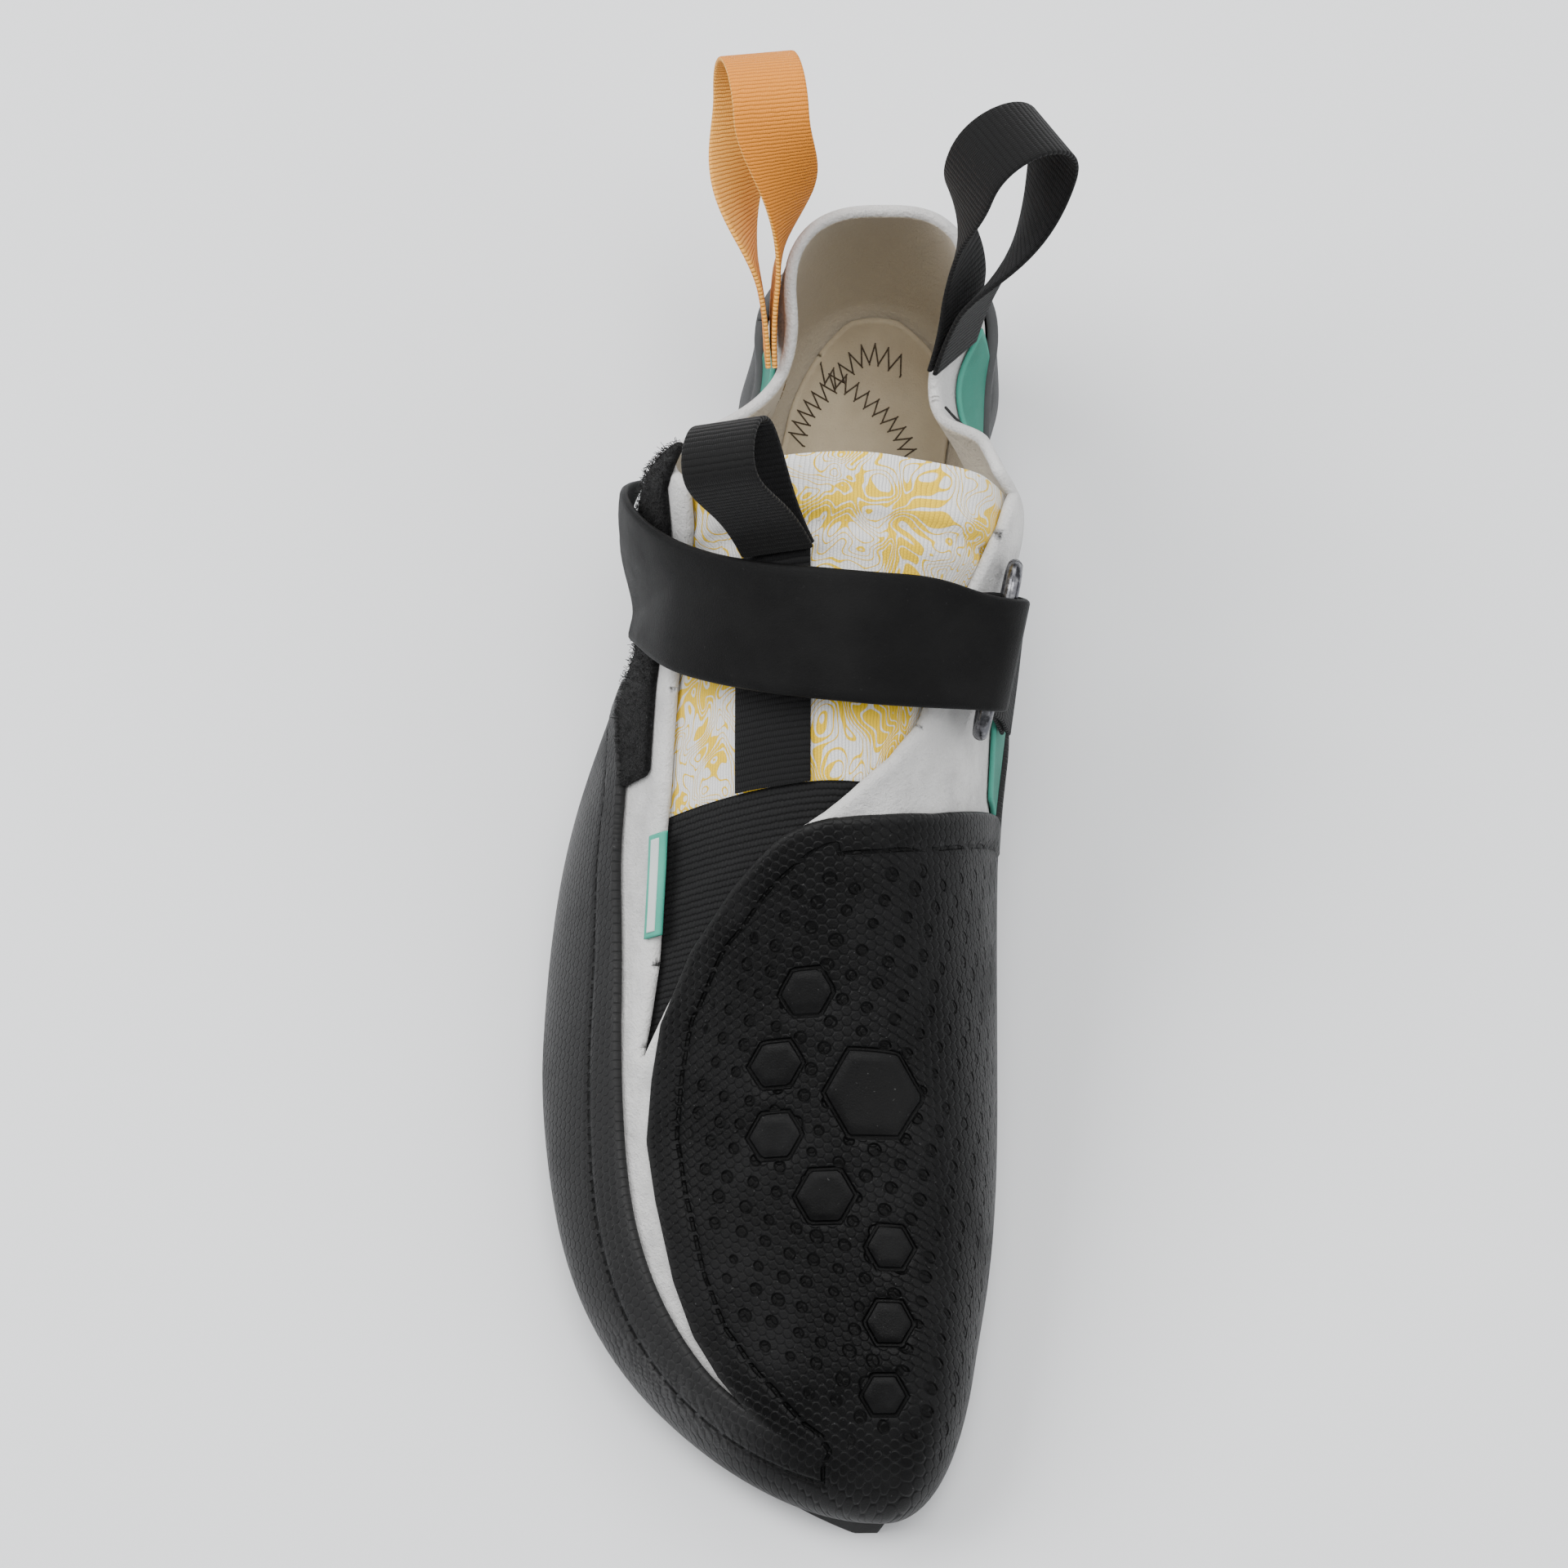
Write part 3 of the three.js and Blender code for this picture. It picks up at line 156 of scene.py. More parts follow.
# How far a quarter leans, on which side, where along the last, between which heights and how far out
LEAN_TABLE = (
    {"push": -11.0, "side": -1, "share": 0.245, "reach": 0.104, "height": (0.34, 0.8), "out": (0.1, 0.325)},
    {"push": 5.0, "side": -1, "share": 0.133, "reach": 0.08, "height": (0.2, 0.6), "out": (0.075, 0.225)},
    {"push": -7.0, "side": 1, "share": 0.153, "reach": 0.072, "height": (0.44, 0.72), "out": (0.05, 0.175)},
    {"push": 7.0, "side": 1, "share": 0.277, "reach": 0.096, "height": (0.55, 0.85), "out": (0.075, 0.2)},
)


# %% Curves through a table
def spline(xs, ys):
    """A natural cubic spline through the points, as a function of an array."""
    xs, ys = np.asarray(xs, float), np.asarray(ys, float)
    steps = np.diff(xs)
    n = len(xs)
    left = np.eye(n)
    right = np.zeros(n)
    for i in range(1, n - 1):
        left[i, i - 1 : i + 2] = steps[i - 1], 2 * (steps[i - 1] + steps[i]), steps[i]
        right[i] = 6 * ((ys[i + 1] - ys[i]) / steps[i] - (ys[i] - ys[i - 1]) / steps[i - 1])
    bend = np.linalg.solve(left, right)

    def value(x):
        x = np.clip(np.asarray(x, float), xs[0], xs[-1])
        k = np.clip(np.searchsorted(xs, x, side="left") - 1, 0, n - 2)
        after, before, step = xs[k + 1] - x, x - xs[k], steps[k]
        curve = (bend[k] * after**3 + bend[k + 1] * before**3) / (6 * step)
        first = (ys[k] / step - bend[k] * step / 6) * after
        return curve + first + (ys[k + 1] / step - bend[k + 1] * step / 6) * before

    return value


def splines(table, key="share"):
    return {name: spline(table[key], column) for name, column in table.items() if name != key}


def smooth(x, low, high):
    """0 below low, 1 above high, and a soft step between."""
    part = np.clip((np.asarray(x, float) - low) / (high - low), 0, 1)
    return part * part * (3 - 2 * part)


def hump(x, centre, reach):
    """1 at the centre and 0 beyond the reach."""
    part = np.maximum(1 - ((np.asarray(x, float) - centre) / reach) ** 2, 0)
    return part * part


def closing(distance, reach):
    left = np.clip(1 - distance / reach, 0, 1)
    return np.sqrt(np.maximum(1 - left * left, 0))


SHAPE = {**splines(PLAN_TABLE), **splines(PROFILE_TABLE)}


# %% Sections of the last
def section(share):
    """The measures of the last's sections at an array of shares."""
    from_heel = share * LAST_LENGTH
    from_toe = (1 - share) * LAST_LENGTH
    heel = closing(from_heel, ROUNDS["heel"])
    centre = SHAPE["shift"](share) * BALL_WIDTH
    wide_m = SHAPE["wide_m"](share) * INSTEP_HEIGHT
    wide_l = SHAPE["wide_l"](share) * INSTEP_HEIGHT
    waist = (wide_m + wide_l) / 2
    bottom = SEAT - SOLE_WEAR + np.maximum(SHAPE["bottom"](share), 0) * ARCH_RISE
    top_fade = closing(from_heel, ROUNDS["heel_top"]) * closing(from_toe, ROUNDS["toe_top"])
    bottom_fade = closing(from_heel, ROUNDS["heel_bottom"]) * closing(from_toe, ROUNDS["toe_bottom"])
    high = waist + (SHAPE["top"](share) * INSTEP_HEIGHT - waist) * top_fade
    low = waist - (waist - bottom) * bottom_fade
    spread = np.clip((high - low) / 12, 0, 1)
    medial = SHAPE["medial"](share) * BALL_WIDTH * heel * closing(from_toe, ROUNDS["toe_medial"])
    lateral = SHAPE["lateral"](share) * BALL_WIDTH * heel * closing(from_toe, ROUNDS["toe_lateral"])
    ridge = SHAPE["ridge"](share) * BALL_WIDTH * heel * closing(from_toe, ROUNDS["toe_top"])
    return {
        "x_m": centre + medial,
        "x_l": centre - lateral,
        "x_top": centre + ridge,
        "high": high,
        "low": low,
        "wide_m": waist + (wide_m - waist) * spread,
        "wide_l": waist + (wide_l - waist) * spread,
    }


def half_sections(share, medial):
    """Points (x, z) of one half of each section from the ridge down to the sole's middle, and
    their lengths."""
    s = section(share)
    steps = 72
    angle = np.linspace(0, np.pi / 2, steps + 1)[None, :]
    side = (s["x_m"] if medial else s["x_l"])[:, None]
    level = (s["wide_m"] if medial else s["wide_l"])[:, None]
    bow = SHAPE["bow_m" if medial else "bow_l"](share)[:, None]
    bow_b = SHAPE["bow_b"](share)[:, None]
    top_x = s["x_top"][:, None]
    bottom_x = ((s["x_m"] + s["x_l"]) / 4 + s["x_top"] / 2)[:, None]
    sine, cosine = np.sin(angle), np.maximum(np.cos(angle), 0)
    x_up = top_x + (side - top_x) * sine ** (2 / bow)
    z_up = level + (s["high"][:, None] - level) * cosine ** (2 / bow)
    x_down = bottom_x + (side - bottom_x) * cosine ** (2 / bow_b)
    z_down = level - (level - s["low"][:, None]) * sine ** (2 / bow_b)
    x = np.concatenate([x_up, x_down[:, 1:]], 1)
    z = np.concatenate([z_up, z_down[:, 1:]], 1)
    lengths = np.concatenate([np.zeros((len(share), 1)), np.cumsum(np.hypot(np.diff(x), np.diff(z)), 1)], 1)
    return x, z, lengths


def lean(p):
    """Moves points sideways where the quarters lean."""
    q = p.copy()
    share = (HEEL_BACK - p[:, 1]) / LAST_LENGTH
    for row in LEAN_TABLE:
        height = smooth(p[:, 2] / INSTEP_HEIGHT, *row["height"])
        out = smooth(row["side"] * p[:, 0] / BALL_WIDTH, *row["out"])
        q[:, 0] += row["push"] * hump(share, row["share"], row["reach"]) * height * out
    return q


def last_points(share, turn):
    """Points of the last. turn is 0 at the ridge, 0.5 or -0.5 under the sole, positive on the medial side."""
    share, turn = np.broadcast_arrays(np.asarray(share, float), np.asarray(turn, float))
    share, turn = share.ravel(), turn.ravel()
    wrapped = turn - np.round(turn)
    out = np.zeros((len(share), 3))
    shares, back = np.unique(np.clip(share, 0, 1), return_inverse=True)
    for medial in (True, False):
        x, z, lengths = half_sections(shares, medial)
        chosen = np.flatnonzero((wrapped >= 0) == medial)
        rows = back[chosen]
        target = np.abs(wrapped[chosen]) * 2 * lengths[rows, -1]
        k = np.empty(len(chosen), int)
        order = np.argsort(rows, kind="stable")
        starts = np.searchsorted(rows[order], np.arange(len(shares) + 1))
        for r in range(len(shares)):
            some = order[starts[r] : starts[r + 1]]
            k[some] = np.searchsorted(lengths[r], target[some])
        k = np.clip(k, 1, lengths.shape[1] - 1)
        step = np.maximum(lengths[rows, k] - lengths[rows, k - 1], 1e-9)
        part = np.clip((target - lengths[rows, k - 1]) / step, 0, 1)
        out[chosen, 0] = x[rows, k - 1] + (x[rows, k] - x[rows, k - 1]) * part
        out[chosen, 2] = z[rows, k - 1] + (z[rows, k] - z[rows, k - 1]) * part
    out[:, 1] = HEEL_BACK - share * LAST_LENGTH
    return lean(out)


def unit(v):
    return v / np.maximum(np.linalg.norm(v, axis=-1, keepdims=True), 1e-9)


def last_normals(share, turn, d=0.004):
    share, turn = np.broadcast_arrays(np.asarray(share, float), np.asarray(turn, float))
    along = last_points(np.minimum(share + d, 1), turn) - last_points(np.maximum(share - d, 0), turn)
    around = last_points(share, turn + d) - last_points(share, turn - d)
    return unit(np.cross(along, around))


def on_last(share, turn, lift):
    return last_points(share, turn) + last_normals(share, turn) * np.ravel(lift)[:, None]


def girth_of(share, turn):
    """Signed millimetres round the section from the ridge."""
    share, turn = np.asarray(share, float).ravel(), np.asarray(turn, float).ravel()
    shares, back = np.unique(np.clip(share, 0, 1), return_inverse=True)
    medial = half_sections(shares, True)[2][:, -1][back]
    lateral = half_sections(shares, False)[2][:, -1][back]
    return np.where(turn >= 0, 2 * turn * medial, 2 * turn * lateral)


# %% [markdown]
# A piece of upper, rubber or lining is a layer on the last, cut out where a level function is above zero. The
# level is also the distance in from the piece's edge, so the same number later places beads, grooves and
# stitches. The cut follows the level exactly, so edges stay clean on a grid of about a millimetre.


# %% A grid over the last
def make_grid(stations, half_columns):
    columns = 2 * half_columns
    share = (1 - np.cos(np.pi * np.arange(stations + 1) / stations)) / 2
    turn = np.arange(columns) / columns
    turn = np.where(np.arange(columns) <= half_columns, turn, turn - 1)
    shares = np.repeat(share, columns)
    turns = np.tile(turn, stations + 1)
    point = last_points(shares, turns)
    p = point.reshape(stations + 1, columns, 3)
    along = np.gradient(p, axis=0)
    around = np.roll(p, -1, 1) - np.roll(p, 1, 1)
    normal = unit(np.cross(along, around))
    normal[0], normal[-1] = (0, 1, 0), (0, -1, 0)
    normal = normal.reshape(-1, 3)
    s = section(shares)
    arch = np.maximum(SHAPE["bottom"](shares), 0) * ARCH_RISE
    ids = np.arange((stations + 1) * columns).reshape(stations + 1, columns)
    ids[0], ids[-1] = 0, ids[-1, 0]
    a, b = ids[:-1], ids[1:]
    c, d = np.roll(b, -1, 1), np.roll(a, -1, 1)
    odd = (np.add.outer(np.arange(stations), np.arange(columns)) % 2).astype(bool)
    first = np.where(odd[..., None], np.stack([a, b, c], -1), np.stack([a, b, d], -1))
    second = np.where(odd[..., None], np.stack([a, c, d], -1), np.stack([b, c, d], -1))
    triangles = np.concatenate([first.reshape(-1, 3), second.reshape(-1, 3)])
    whole = (triangles[:, 0] != triangles[:, 1]) & (triangles[:, 1] != triangles[:, 2])
    triangles = triangles[whole & (triangles[:, 0] != triangles[:, 2])]
    return {
        "share": shares,
        "turn": turns,
        "point": point,
        "normal": normal,
        "girth": girth_of(shares, turns),
        "along": shares * LAST_LENGTH,
        "under": point[:, 2] < np.where(turns >= 0, s["wide_m"], s["wide_l"]),
        "skin": point + normal * UPPER_WALL,
        "shell": point + normal * (RUBBER_LIFT + RUBBER_WALL),
        "inset": np.minimum(s["x_m"] - point[:, 0], point[:, 0] - s["x_l"]),
        "rise": point[:, 2] - SEAT + SOLE_WEAR - arch,
        "sole_floor": np.maximum(arch - SOLE_WEAR, 0),
        "triangles": triangles,
    }


GRIDS = {"fine": make_grid(330, 160), "plain": make_grid(230, 116)}
print("grids", {name: len(grid["triangles"]) for name, grid in GRIDS.items()}, "triangles")


# %% Cutting a layer out of the grid
CARRIED = ("share", "turn", "point", "normal", "girth", "along", "sole_floor")


def cut(grid, level):
    """The part of the grid where level is above zero: vertex data, triangles and the directed rim edges."""
    level = np.where(np.abs(level) < 1e-3, 1e-3, level)
    tri = grid["triangles"]
    inside = level[tri] > 0
    count = inside.sum(1)
    faces = [tri[count == 3]]
    pairs = []
    for wanted in (1, 2):
        t, flags = tri[count == wanted], inside[count == wanted]
        lone = np.argmax(flags if wanted == 1 else ~flags, 1)
        rows = np.arange(len(t))
        a, b, c = t[rows, lone], t[rows, (lone + 1) % 3], t[rows, (lone + 2) % 3]
        pairs.append((a, b, c))
    a, b, c = pairs[0]
    d, e, f = pairs[1]
    ends = np.concatenate([np.stack([a, b], 1), np.stack([a, c], 1), np.stack([d, e], 1),
                           np.stack([d, f], 1)])
    ends.sort(axis=1)
    size = len(level)
    keys, back = np.unique(ends[:, 0] * size + ends[:, 1], return_inverse=True)
    p, q = keys // size, keys % size
    part = np.clip(level[p] / (level[p] - level[q]), 0.02, 0.98)
    n, m = len(a), len(d)
    ab, ac = size + back[:n], size + back[n : 2 * n]
    de, df = size + back[2 * n : 2 * n + m], size + back[2 * n + m :]
    faces.append(np.stack([a, ab, ac], 1))
    faces.append(np.stack([de, e, f], 1))
    faces.append(np.stack([de, f, df], 1))
    faces = np.concatenate(faces)
    used, renumbered = np.unique(faces, return_inverse=True)
    faces = renumbered.reshape(faces.shape)
    data = {}
    for name in CARRIED:
        old = grid[name]
        weight = part[:, None] if old.ndim > 1 else part
        data[name] = np.concatenate([old, old[p] * (1 - weight) + old[q] * weight])[used]
    data["edge"] = np.concatenate([level, np.zeros(len(p))])[used]
    data["normal"] = unit(data["normal"])
    directed = np.concatenate([faces[:, [0, 1]], faces[:, [1, 2]], faces[:, [2, 0]]])
    code = directed[:, 0] * len(used) + directed[:, 1]
    reverse = directed[:, 1] * len(used) + directed[:, 0]
    rim = directed[~np.isin(code, reverse)]
    return data, faces, rim


def rim_outward(data, rim):
    """For each vertex, the direction out of the piece along the surface, and zero off the rim."""
    run = data["point"][rim[:, 1]] - data["point"][rim[:, 0]]
    out = np.cross(run, data["normal"][rim[:, 0]])
    total = np.zeros_like(data["point"])
    np.add.at(total, rim[:, 0], out)
    np.add.at(total, rim[:, 1], out)
    return unit(total)


# %% From numbers to a Blender mesh
def make_mesh(name, points, faces, floats=None, uv=None):
    """A smooth mesh piece in metres from points in millimetres. floats are named values for each vertex."""
    mesh = bpy.data.meshes.new(name)
    mesh.vertices.add(len(points))
    mesh.vertices.foreach_set("co", (np.asarray(points, np.float32) * MM).ravel())
    sizes = [len(f) for f in faces] if isinstance(faces, list) else np.full(len(faces), faces.shape[1])
    flat = np.concatenate([np.asarray(f) for f in faces]) if isinstance(faces, list) else faces.ravel()
    mesh.loops.add(len(flat))
    mesh.loops.foreach_set("vertex_index", flat.astype(np.int32))
    mesh.polygons.add(len(faces))
    starts = np.concatenate([[0], np.cumsum(sizes)[:-1]]).astype(np.int32)
    mesh.polygons.foreach_set("loop_start", starts)
    mesh.update(calc_edges=True)
    for key, values in (floats or {}).items():
        layer = mesh.attributes.new(key, "FLOAT", "POINT")
        layer.data.foreach_set("value", np.asarray(values, np.float32))
    if uv is not None:
        layer = mesh.uv_layers.new(name="sheet")
        layer.data.foreach_set("uv", (np.asarray(uv, np.float32) / UV_SPAN)[flat].ravel())
    mesh.polygons.foreach_set("use_smooth", np.ones(len(faces), bool))
    mesh.validate()
    piece = bpy.data.objects.new(name, mesh)
    bpy.context.scene.collection.objects.link(piece)
    return piece


def dress(piece, node, material):
    """What every piece needs: its body, the solid it stands for and its material."""
    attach(piece, "root")
    if node:
        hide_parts(*([node] if isinstance(node, str) else node))
    piece.data.materials.append(material)
    print(piece.name, sum(len(p.vertices) - 2 for p in piece.data.polygons), "triangles")
    return piece


def layer_piece(name, grid, level, inner, outer, bulge=0.4, extra=None, outer_place=None):
    """A layer of the last as a closed piece. inner and outer are lifts, or functions of the vertex data."""
    data, faces, rim = cut(grid, level)
    count = len(data["share"])
    lift_in = inner(data) if callable(inner) else np.full(count, float(inner))
    lift_out = outer(data) if callable(outer) else np.full(count, float(outer))
    low = data["point"] + data["normal"] * lift_in[:, None]
    high = data["point"] + data["normal"] * lift_out[:, None]
    if outer_place:
        high = outer_place(data, low)
    out = rim_outward(data, rim)
    edge_ids = np.unique(rim)
    slot_of = np.full(count, -1)
    slot_of[edge_ids] = np.arange(len(edge_ids))
    rows = [high[edge_ids]]
    thick = np.linalg.norm(high - low, axis=1)[edge_ids, None]
    for part in (0.14, 0.38, 0.62, 0.86):
        swell = bulge * thick * math.sin(math.pi * part) ** 0.7
        rows.append(high[edge_ids] + (low - high)[edge_ids] * part + out[edge_ids] * swell)
    points = [high, low, *rows[1:]]
    starts = np.cumsum([0, count, count] + [len(edge_ids)] * 4)
    p, q = rim[:, 0], rim[:, 1]
    ring = [(p, q)]
    ring += [(starts[2 + k] + slot_of[p], starts[2 + k] + slot_of[q]) for k in range(4)]
    ring.append((count + p, count + q))
    walls = [np.stack([a1, a0, b0, b1], 1) for (a0, a1), (b0, b1) in zip(ring, ring[1:])]
    walls = np.concatenate(walls)
    triangles = np.concatenate([faces, faces[:, ::-1] + count])
    walls = np.concatenate([walls[:, [0, 1, 2]], walls[:, [0, 2, 3]]])
    order = np.concatenate([np.arange(count), np.arange(count), *[edge_ids] * 4])
    floats = {"edge": data["edge"][order]}
    floats["face"] = np.concatenate([np.ones(count), np.zeros(count), *[np.full(len(edge_ids), 0.5)] * 4])
    for key, values in (extra(data) if extra else {}).items():
        floats[key] = values[order]
    uv = np.stack([data["along"], data["girth"]], 1)[order]
    return make_mesh(name, np.concatenate(points), np.concatenate([triangles, walls]), floats, uv)


# %% [markdown]
# Where each piece ends is drawn as lines on the last: the collar's height, the throat's two edges, the edge
# of
# the toe rubber and so on. Each becomes a level function, which is above zero on the piece.

# %% The tables of edges
COLLAR_LINE = {
    "share": (0.0, 0.04, 0.08, 0.12, 0.16, 0.2, 0.24, 0.28),
    "medial": (0.82, 0.82, 0.79, 0.72, 0.68, 0.76, 0.88, 0.92),
    "lateral": (0.82, 0.82, 0.79, 0.72, 0.68, 0.72, 0.84, 0.96),
}
RAND_LINE = {
    "share": (0.28, 0.36, 0.4, 0.45, 0.5, 0.57, 0.64, 0.74, 0.85, 0.95, 1.0),
    "medial": (0.3, 0.3, 0.32, 0.34, 0.38, 0.4, 0.4, 0.4, 0.4, 0.4, 0.4),
    "lateral": (0.3, 0.4, 0.5, 0.545, 0.5, 0.445, 0.404, 0.352, 0.31, 0.282, 0.28),
}
HEEL_RUBBER_LINE = {
    "share": (0.0, 0.06, 0.12, 0.2, 0.28),
    "height": (0.5, 0.52, 0.46, 0.3, 0.26),
}
THROAT_LINE = {
    "share": (0.24, 0.27, 0.3, 0.35, 0.4, 0.45, 0.48, 0.51, 0.524, 0.535, 0.56, 0.6, 0.64, 0.672),
    "medial": (0.25, 0.36, 0.33, 0.25, 0.19, 0.135, 0.06, -0.05, -0.115, -0.2, -0.3, -0.41, -0.485, -0.54),
    "lateral": (-0.4, -0.45, -0.44, -0.46, -0.48, -0.492, -0.498, -0.508, -0.51, -0.512, -0.517, -0.525,
                -0.545,
                -0.565),
}
CAP_EDGE = {
    "share": (0.5, 0.5215, 0.525, 0.531, 0.541, 0.56, 0.6, 0.65, 0.69, 0.735, 0.78, 0.84, 0.88, 0.91, 0.94,
              0.957,
              0.965),
    "x": (0.4, -0.06, -0.15, -0.2025, -0.25, -0.32, -0.425, -0.5, -0.522, -0.534, -0.512, -0.468, -0.42,
          -0.36,
          -0.275, -0.22, -0.18),
}
CAP_TOP_LINE = {
    "turn": (0.008, 0.045, 0.097, 0.147, 0.202, 0.257, 0.5),
    "share": (0.522, 0.518, 0.51, 0.498, 0.485, 0.473, 0.472),
}
PANEL_TOP_LINE = {
    "share": (0.09, 0.13, 0.19, 0.28, 0.39, 0.45, 0.5),
    "medial": (0.66, 0.62, 0.58, 0.63, 0.61, 0.48, 0.4),
    "lateral": (0.6, 0.6, 0.6, 0.6, 0.6, 0.6, 0.6),
}
JOIN_SHARE = 0.962
KNIT_SHARE = 0.497
KNIT_END = 0.69
TONGUE_TOP_SHARE = 0.268
TONGUE_LAP = 7.0
OUTSIDE = -20.0

collar = splines(COLLAR_LINE)
rand = splines(RAND_LINE)
heel_rubber = splines(HEEL_RUBBER_LINE)
panel_top = splines(PANEL_TOP_LINE)
throat = {side: lambda share, side=side: np.interp(share, THROAT_LINE["share"], THROAT_LINE[side])
          for side in ("medial", "lateral")}


def cap_x(share):
    return np.interp(share, CAP_EDGE["share"], CAP_EDGE["x"])


# %% Level functions
def by_side(lines, grid):
    return np.where(grid["turn"] >= 0, lines["medial"](grid["share"]), lines["lateral"](grid["share"]))


def open_top(grid):
    """Above zero over the collar's hole and the throat."""
    share, x, z = grid["share"], grid["skin"][:, 0], grid["skin"][:, 2]
    over = np.where(share < COLLAR_LINE["share"][-1], z - by_side(collar, grid) * INSTEP_HEIGHT, OUTSIDE)
    front = (THROAT_LINE["share"][-1] - share) * LAST_LENGTH
    back = (share - THROAT_LINE["share"][0]) * LAST_LENGTH
    medial = throat["medial"](share) * BALL_WIDTH - x
    lateral = x - throat["lateral"](share) * BALL_WIDTH
    hole = np.minimum(np.minimum(medial, lateral), np.minimum(front, back))
    return np.where(grid["under"], OUTSIDE, np.maximum(over, hole))


def under_foot(grid, margin, rise):
    inset = np.where(grid["under"], grid["inset"] - margin, -margin)
    return np.minimum(inset, rise - grid["rise"])


def on_cap(grid):
    share, x = grid["share"], grid["shell"][:, 0]
    top = (share - np.interp(grid["turn"], CAP_TOP_LINE["turn"], CAP_TOP_LINE["share"])) * LAST_LENGTH
    step = 0.01
    slope = (cap_x(share + step) - cap_x(share - step)) * BALL_WIDTH / (2 * step * LAST_LENGTH)
    side = (x - cap_x(share) * BALL_WIDTH) / np.hypot(1, slope)
    tip = (share - JOIN_SHARE) * LAST_LENGTH
    above = np.where(grid["turn"] > CAP_TOP_LINE["turn"][0], top, np.maximum(side, tip))
    below = np.where(grid["turn"] > 0, top, np.where(share > JOIN_SHARE, 1, OUTSIDE))
    return np.where(grid["under"], below, above)


def on_rand(grid):
    height = by_side(rand, grid) * INSTEP_HEIGHT - grid["shell"][:, 2]
    return np.minimum(height, (grid["share"] - RAND_LINE["share"][1]) * LAST_LENGTH)


def above_feather(grid):
    return -under_foot(grid, 12.0, 4.0 + GAP)


def on_toe_rubber(grid):
    return np.minimum(np.maximum(on_cap(grid), on_rand(grid)), above_feather(grid))


def on_heel_rubber(grid):
    height = heel_rubber["height"](grid["share"]) * INSTEP_HEIGHT - grid["shell"][:, 2]
    front = (RAND_LINE["share"][1] - grid["share"]) * LAST_LENGTH - GAP
    clear = -np.maximum(on_cap(grid), on_rand(grid)) - 2 * GAP
    return np.minimum.reduce([above_feather(grid), height, front, clear])


def in_throat(grid):
    share, x = grid["share"], grid["skin"][:, 0]
    medial = throat["medial"](np.maximum(share, 0.3)) * BALL_WIDTH + TONGUE_LAP - x
    lateral = x - throat["lateral"](share) * BALL_WIDTH + TONGUE_LAP
    return np.where(grid["under"], OUTSIDE, np.minimum(medial, lateral))


def on_tongue(grid):
    back = (grid["share"] - TONGUE_TOP_SHARE) * LAST_LENGTH
    front = (KNIT_SHARE - grid["share"]) * LAST_LENGTH - GAP / 2
    return np.minimum.reduce([in_throat(grid), back, front])


def on_knit(grid):
    back = (grid["share"] - KNIT_SHARE) * LAST_LENGTH - GAP / 2
    front = (KNIT_END - grid["share"]) * LAST_LENGTH
    return np.minimum.reduce([in_throat(grid), back, front])


def on_pile(grid):
    share, x, z = grid["share"], grid["skin"][:, 0], grid["skin"][:, 2]
    edge = throat["lateral"](share) * BALL_WIDTH - x - 2.5
    back = (share - 0.245) * LAST_LENGTH
    front = (0.462 - share) * LAST_LENGTH
    low = z - 0.5 * INSTEP_HEIGHT
    clear = -on_rand(grid) - 2 * GAP
    level = np.minimum.reduce([edge, back, front, low, clear])
    return np.where(grid["under"] | (grid["turn"] >= 0), OUTSIDE, level)


def on_side_panel(grid, medial):
    high = panel_top["medial" if medial else "lateral"](grid["share"]) * INSTEP_HEIGHT - grid["shell"][:, 2]
    back = (grid["share"] - 0.09) * LAST_LENGTH
    front = ((0.462 if medial else 0.2) - grid["share"]) * LAST_LENGTH
    above = -np.maximum.reduce([on_heel_rubber(grid), on_rand(grid), on_cap(grid)]) - 2 * GAP
    wanted = (grid["turn"] > 0) == medial
    return np.where(grid["under"] | ~wanted, OUTSIDE, np.minimum.reduce([high, back, front, above]))


# %% [markdown]
# Materials. Each effect that more than one finish uses is a node group: fine fibre grain, moulded scales,
# woven ribs, and dust with wear. A small helper adds a node and sets or links its inputs in one line.


# %% A helper for node trees
def add(tree, kind, inputs=None, **settings):
    """A node with its settings, its inputs set from numbers or linked from sockets."""
    node = tree.nodes.new(kind)
    for key, value in settings.items():
        setattr(node, key, value)
    for key, value in (inputs or {}).items():
        if isinstance(value, bpy.types.NodeSocket):
            tree.links.new(value, node.inputs[key])
        else:
            node.inputs[key].default_value = value
    return node


def maths(tree, operation, a, b=0.0, c=0.0, clamp=False):
    node = add(tree, "ShaderNodeMath", {0: a, 1: b, 2: c}, operation=operation, use_clamp=clamp)
    return node.outputs[0]


def vector_maths(tree, operation, a, b=(0, 0, 0), c=(0, 0, 0)):
    return add(tree, "ShaderNodeVectorMath", {0: a, 1: b, 2: c}, operation=operation)


def band(tree, value, low, high):
    """0 below low and 1 above high, soft between."""
    node = add(tree, "ShaderNodeMapRange", {0: value, 1: low, 2: high, 3: 0.0, 4: 1.0})
    node.interpolation_type = "SMOOTHSTEP"
    return node.outputs[0]


def mix(tree, factor, a, b):
    node = add(tree, "ShaderNodeMix", {0: factor, 6: a, 7: b}, data_type="RGBA")
    return node.outputs[2]


def group(name, inputs, outputs):
    tree = bpy.data.node_groups.new(name, "ShaderNodeTree")
    for key, (kind, value) in inputs.items():
        socket = tree.interface.new_socket(name=key, in_out="INPUT", socket_type=kind)
        socket.default_value = value
    for key, kind in outputs.items():
        tree.interface.new_socket(name=key, in_out="OUTPUT", socket_type=kind)
    return tree, tree.nodes.new("NodeGroupInput"), tree.nodes.new("NodeGroupOutput")


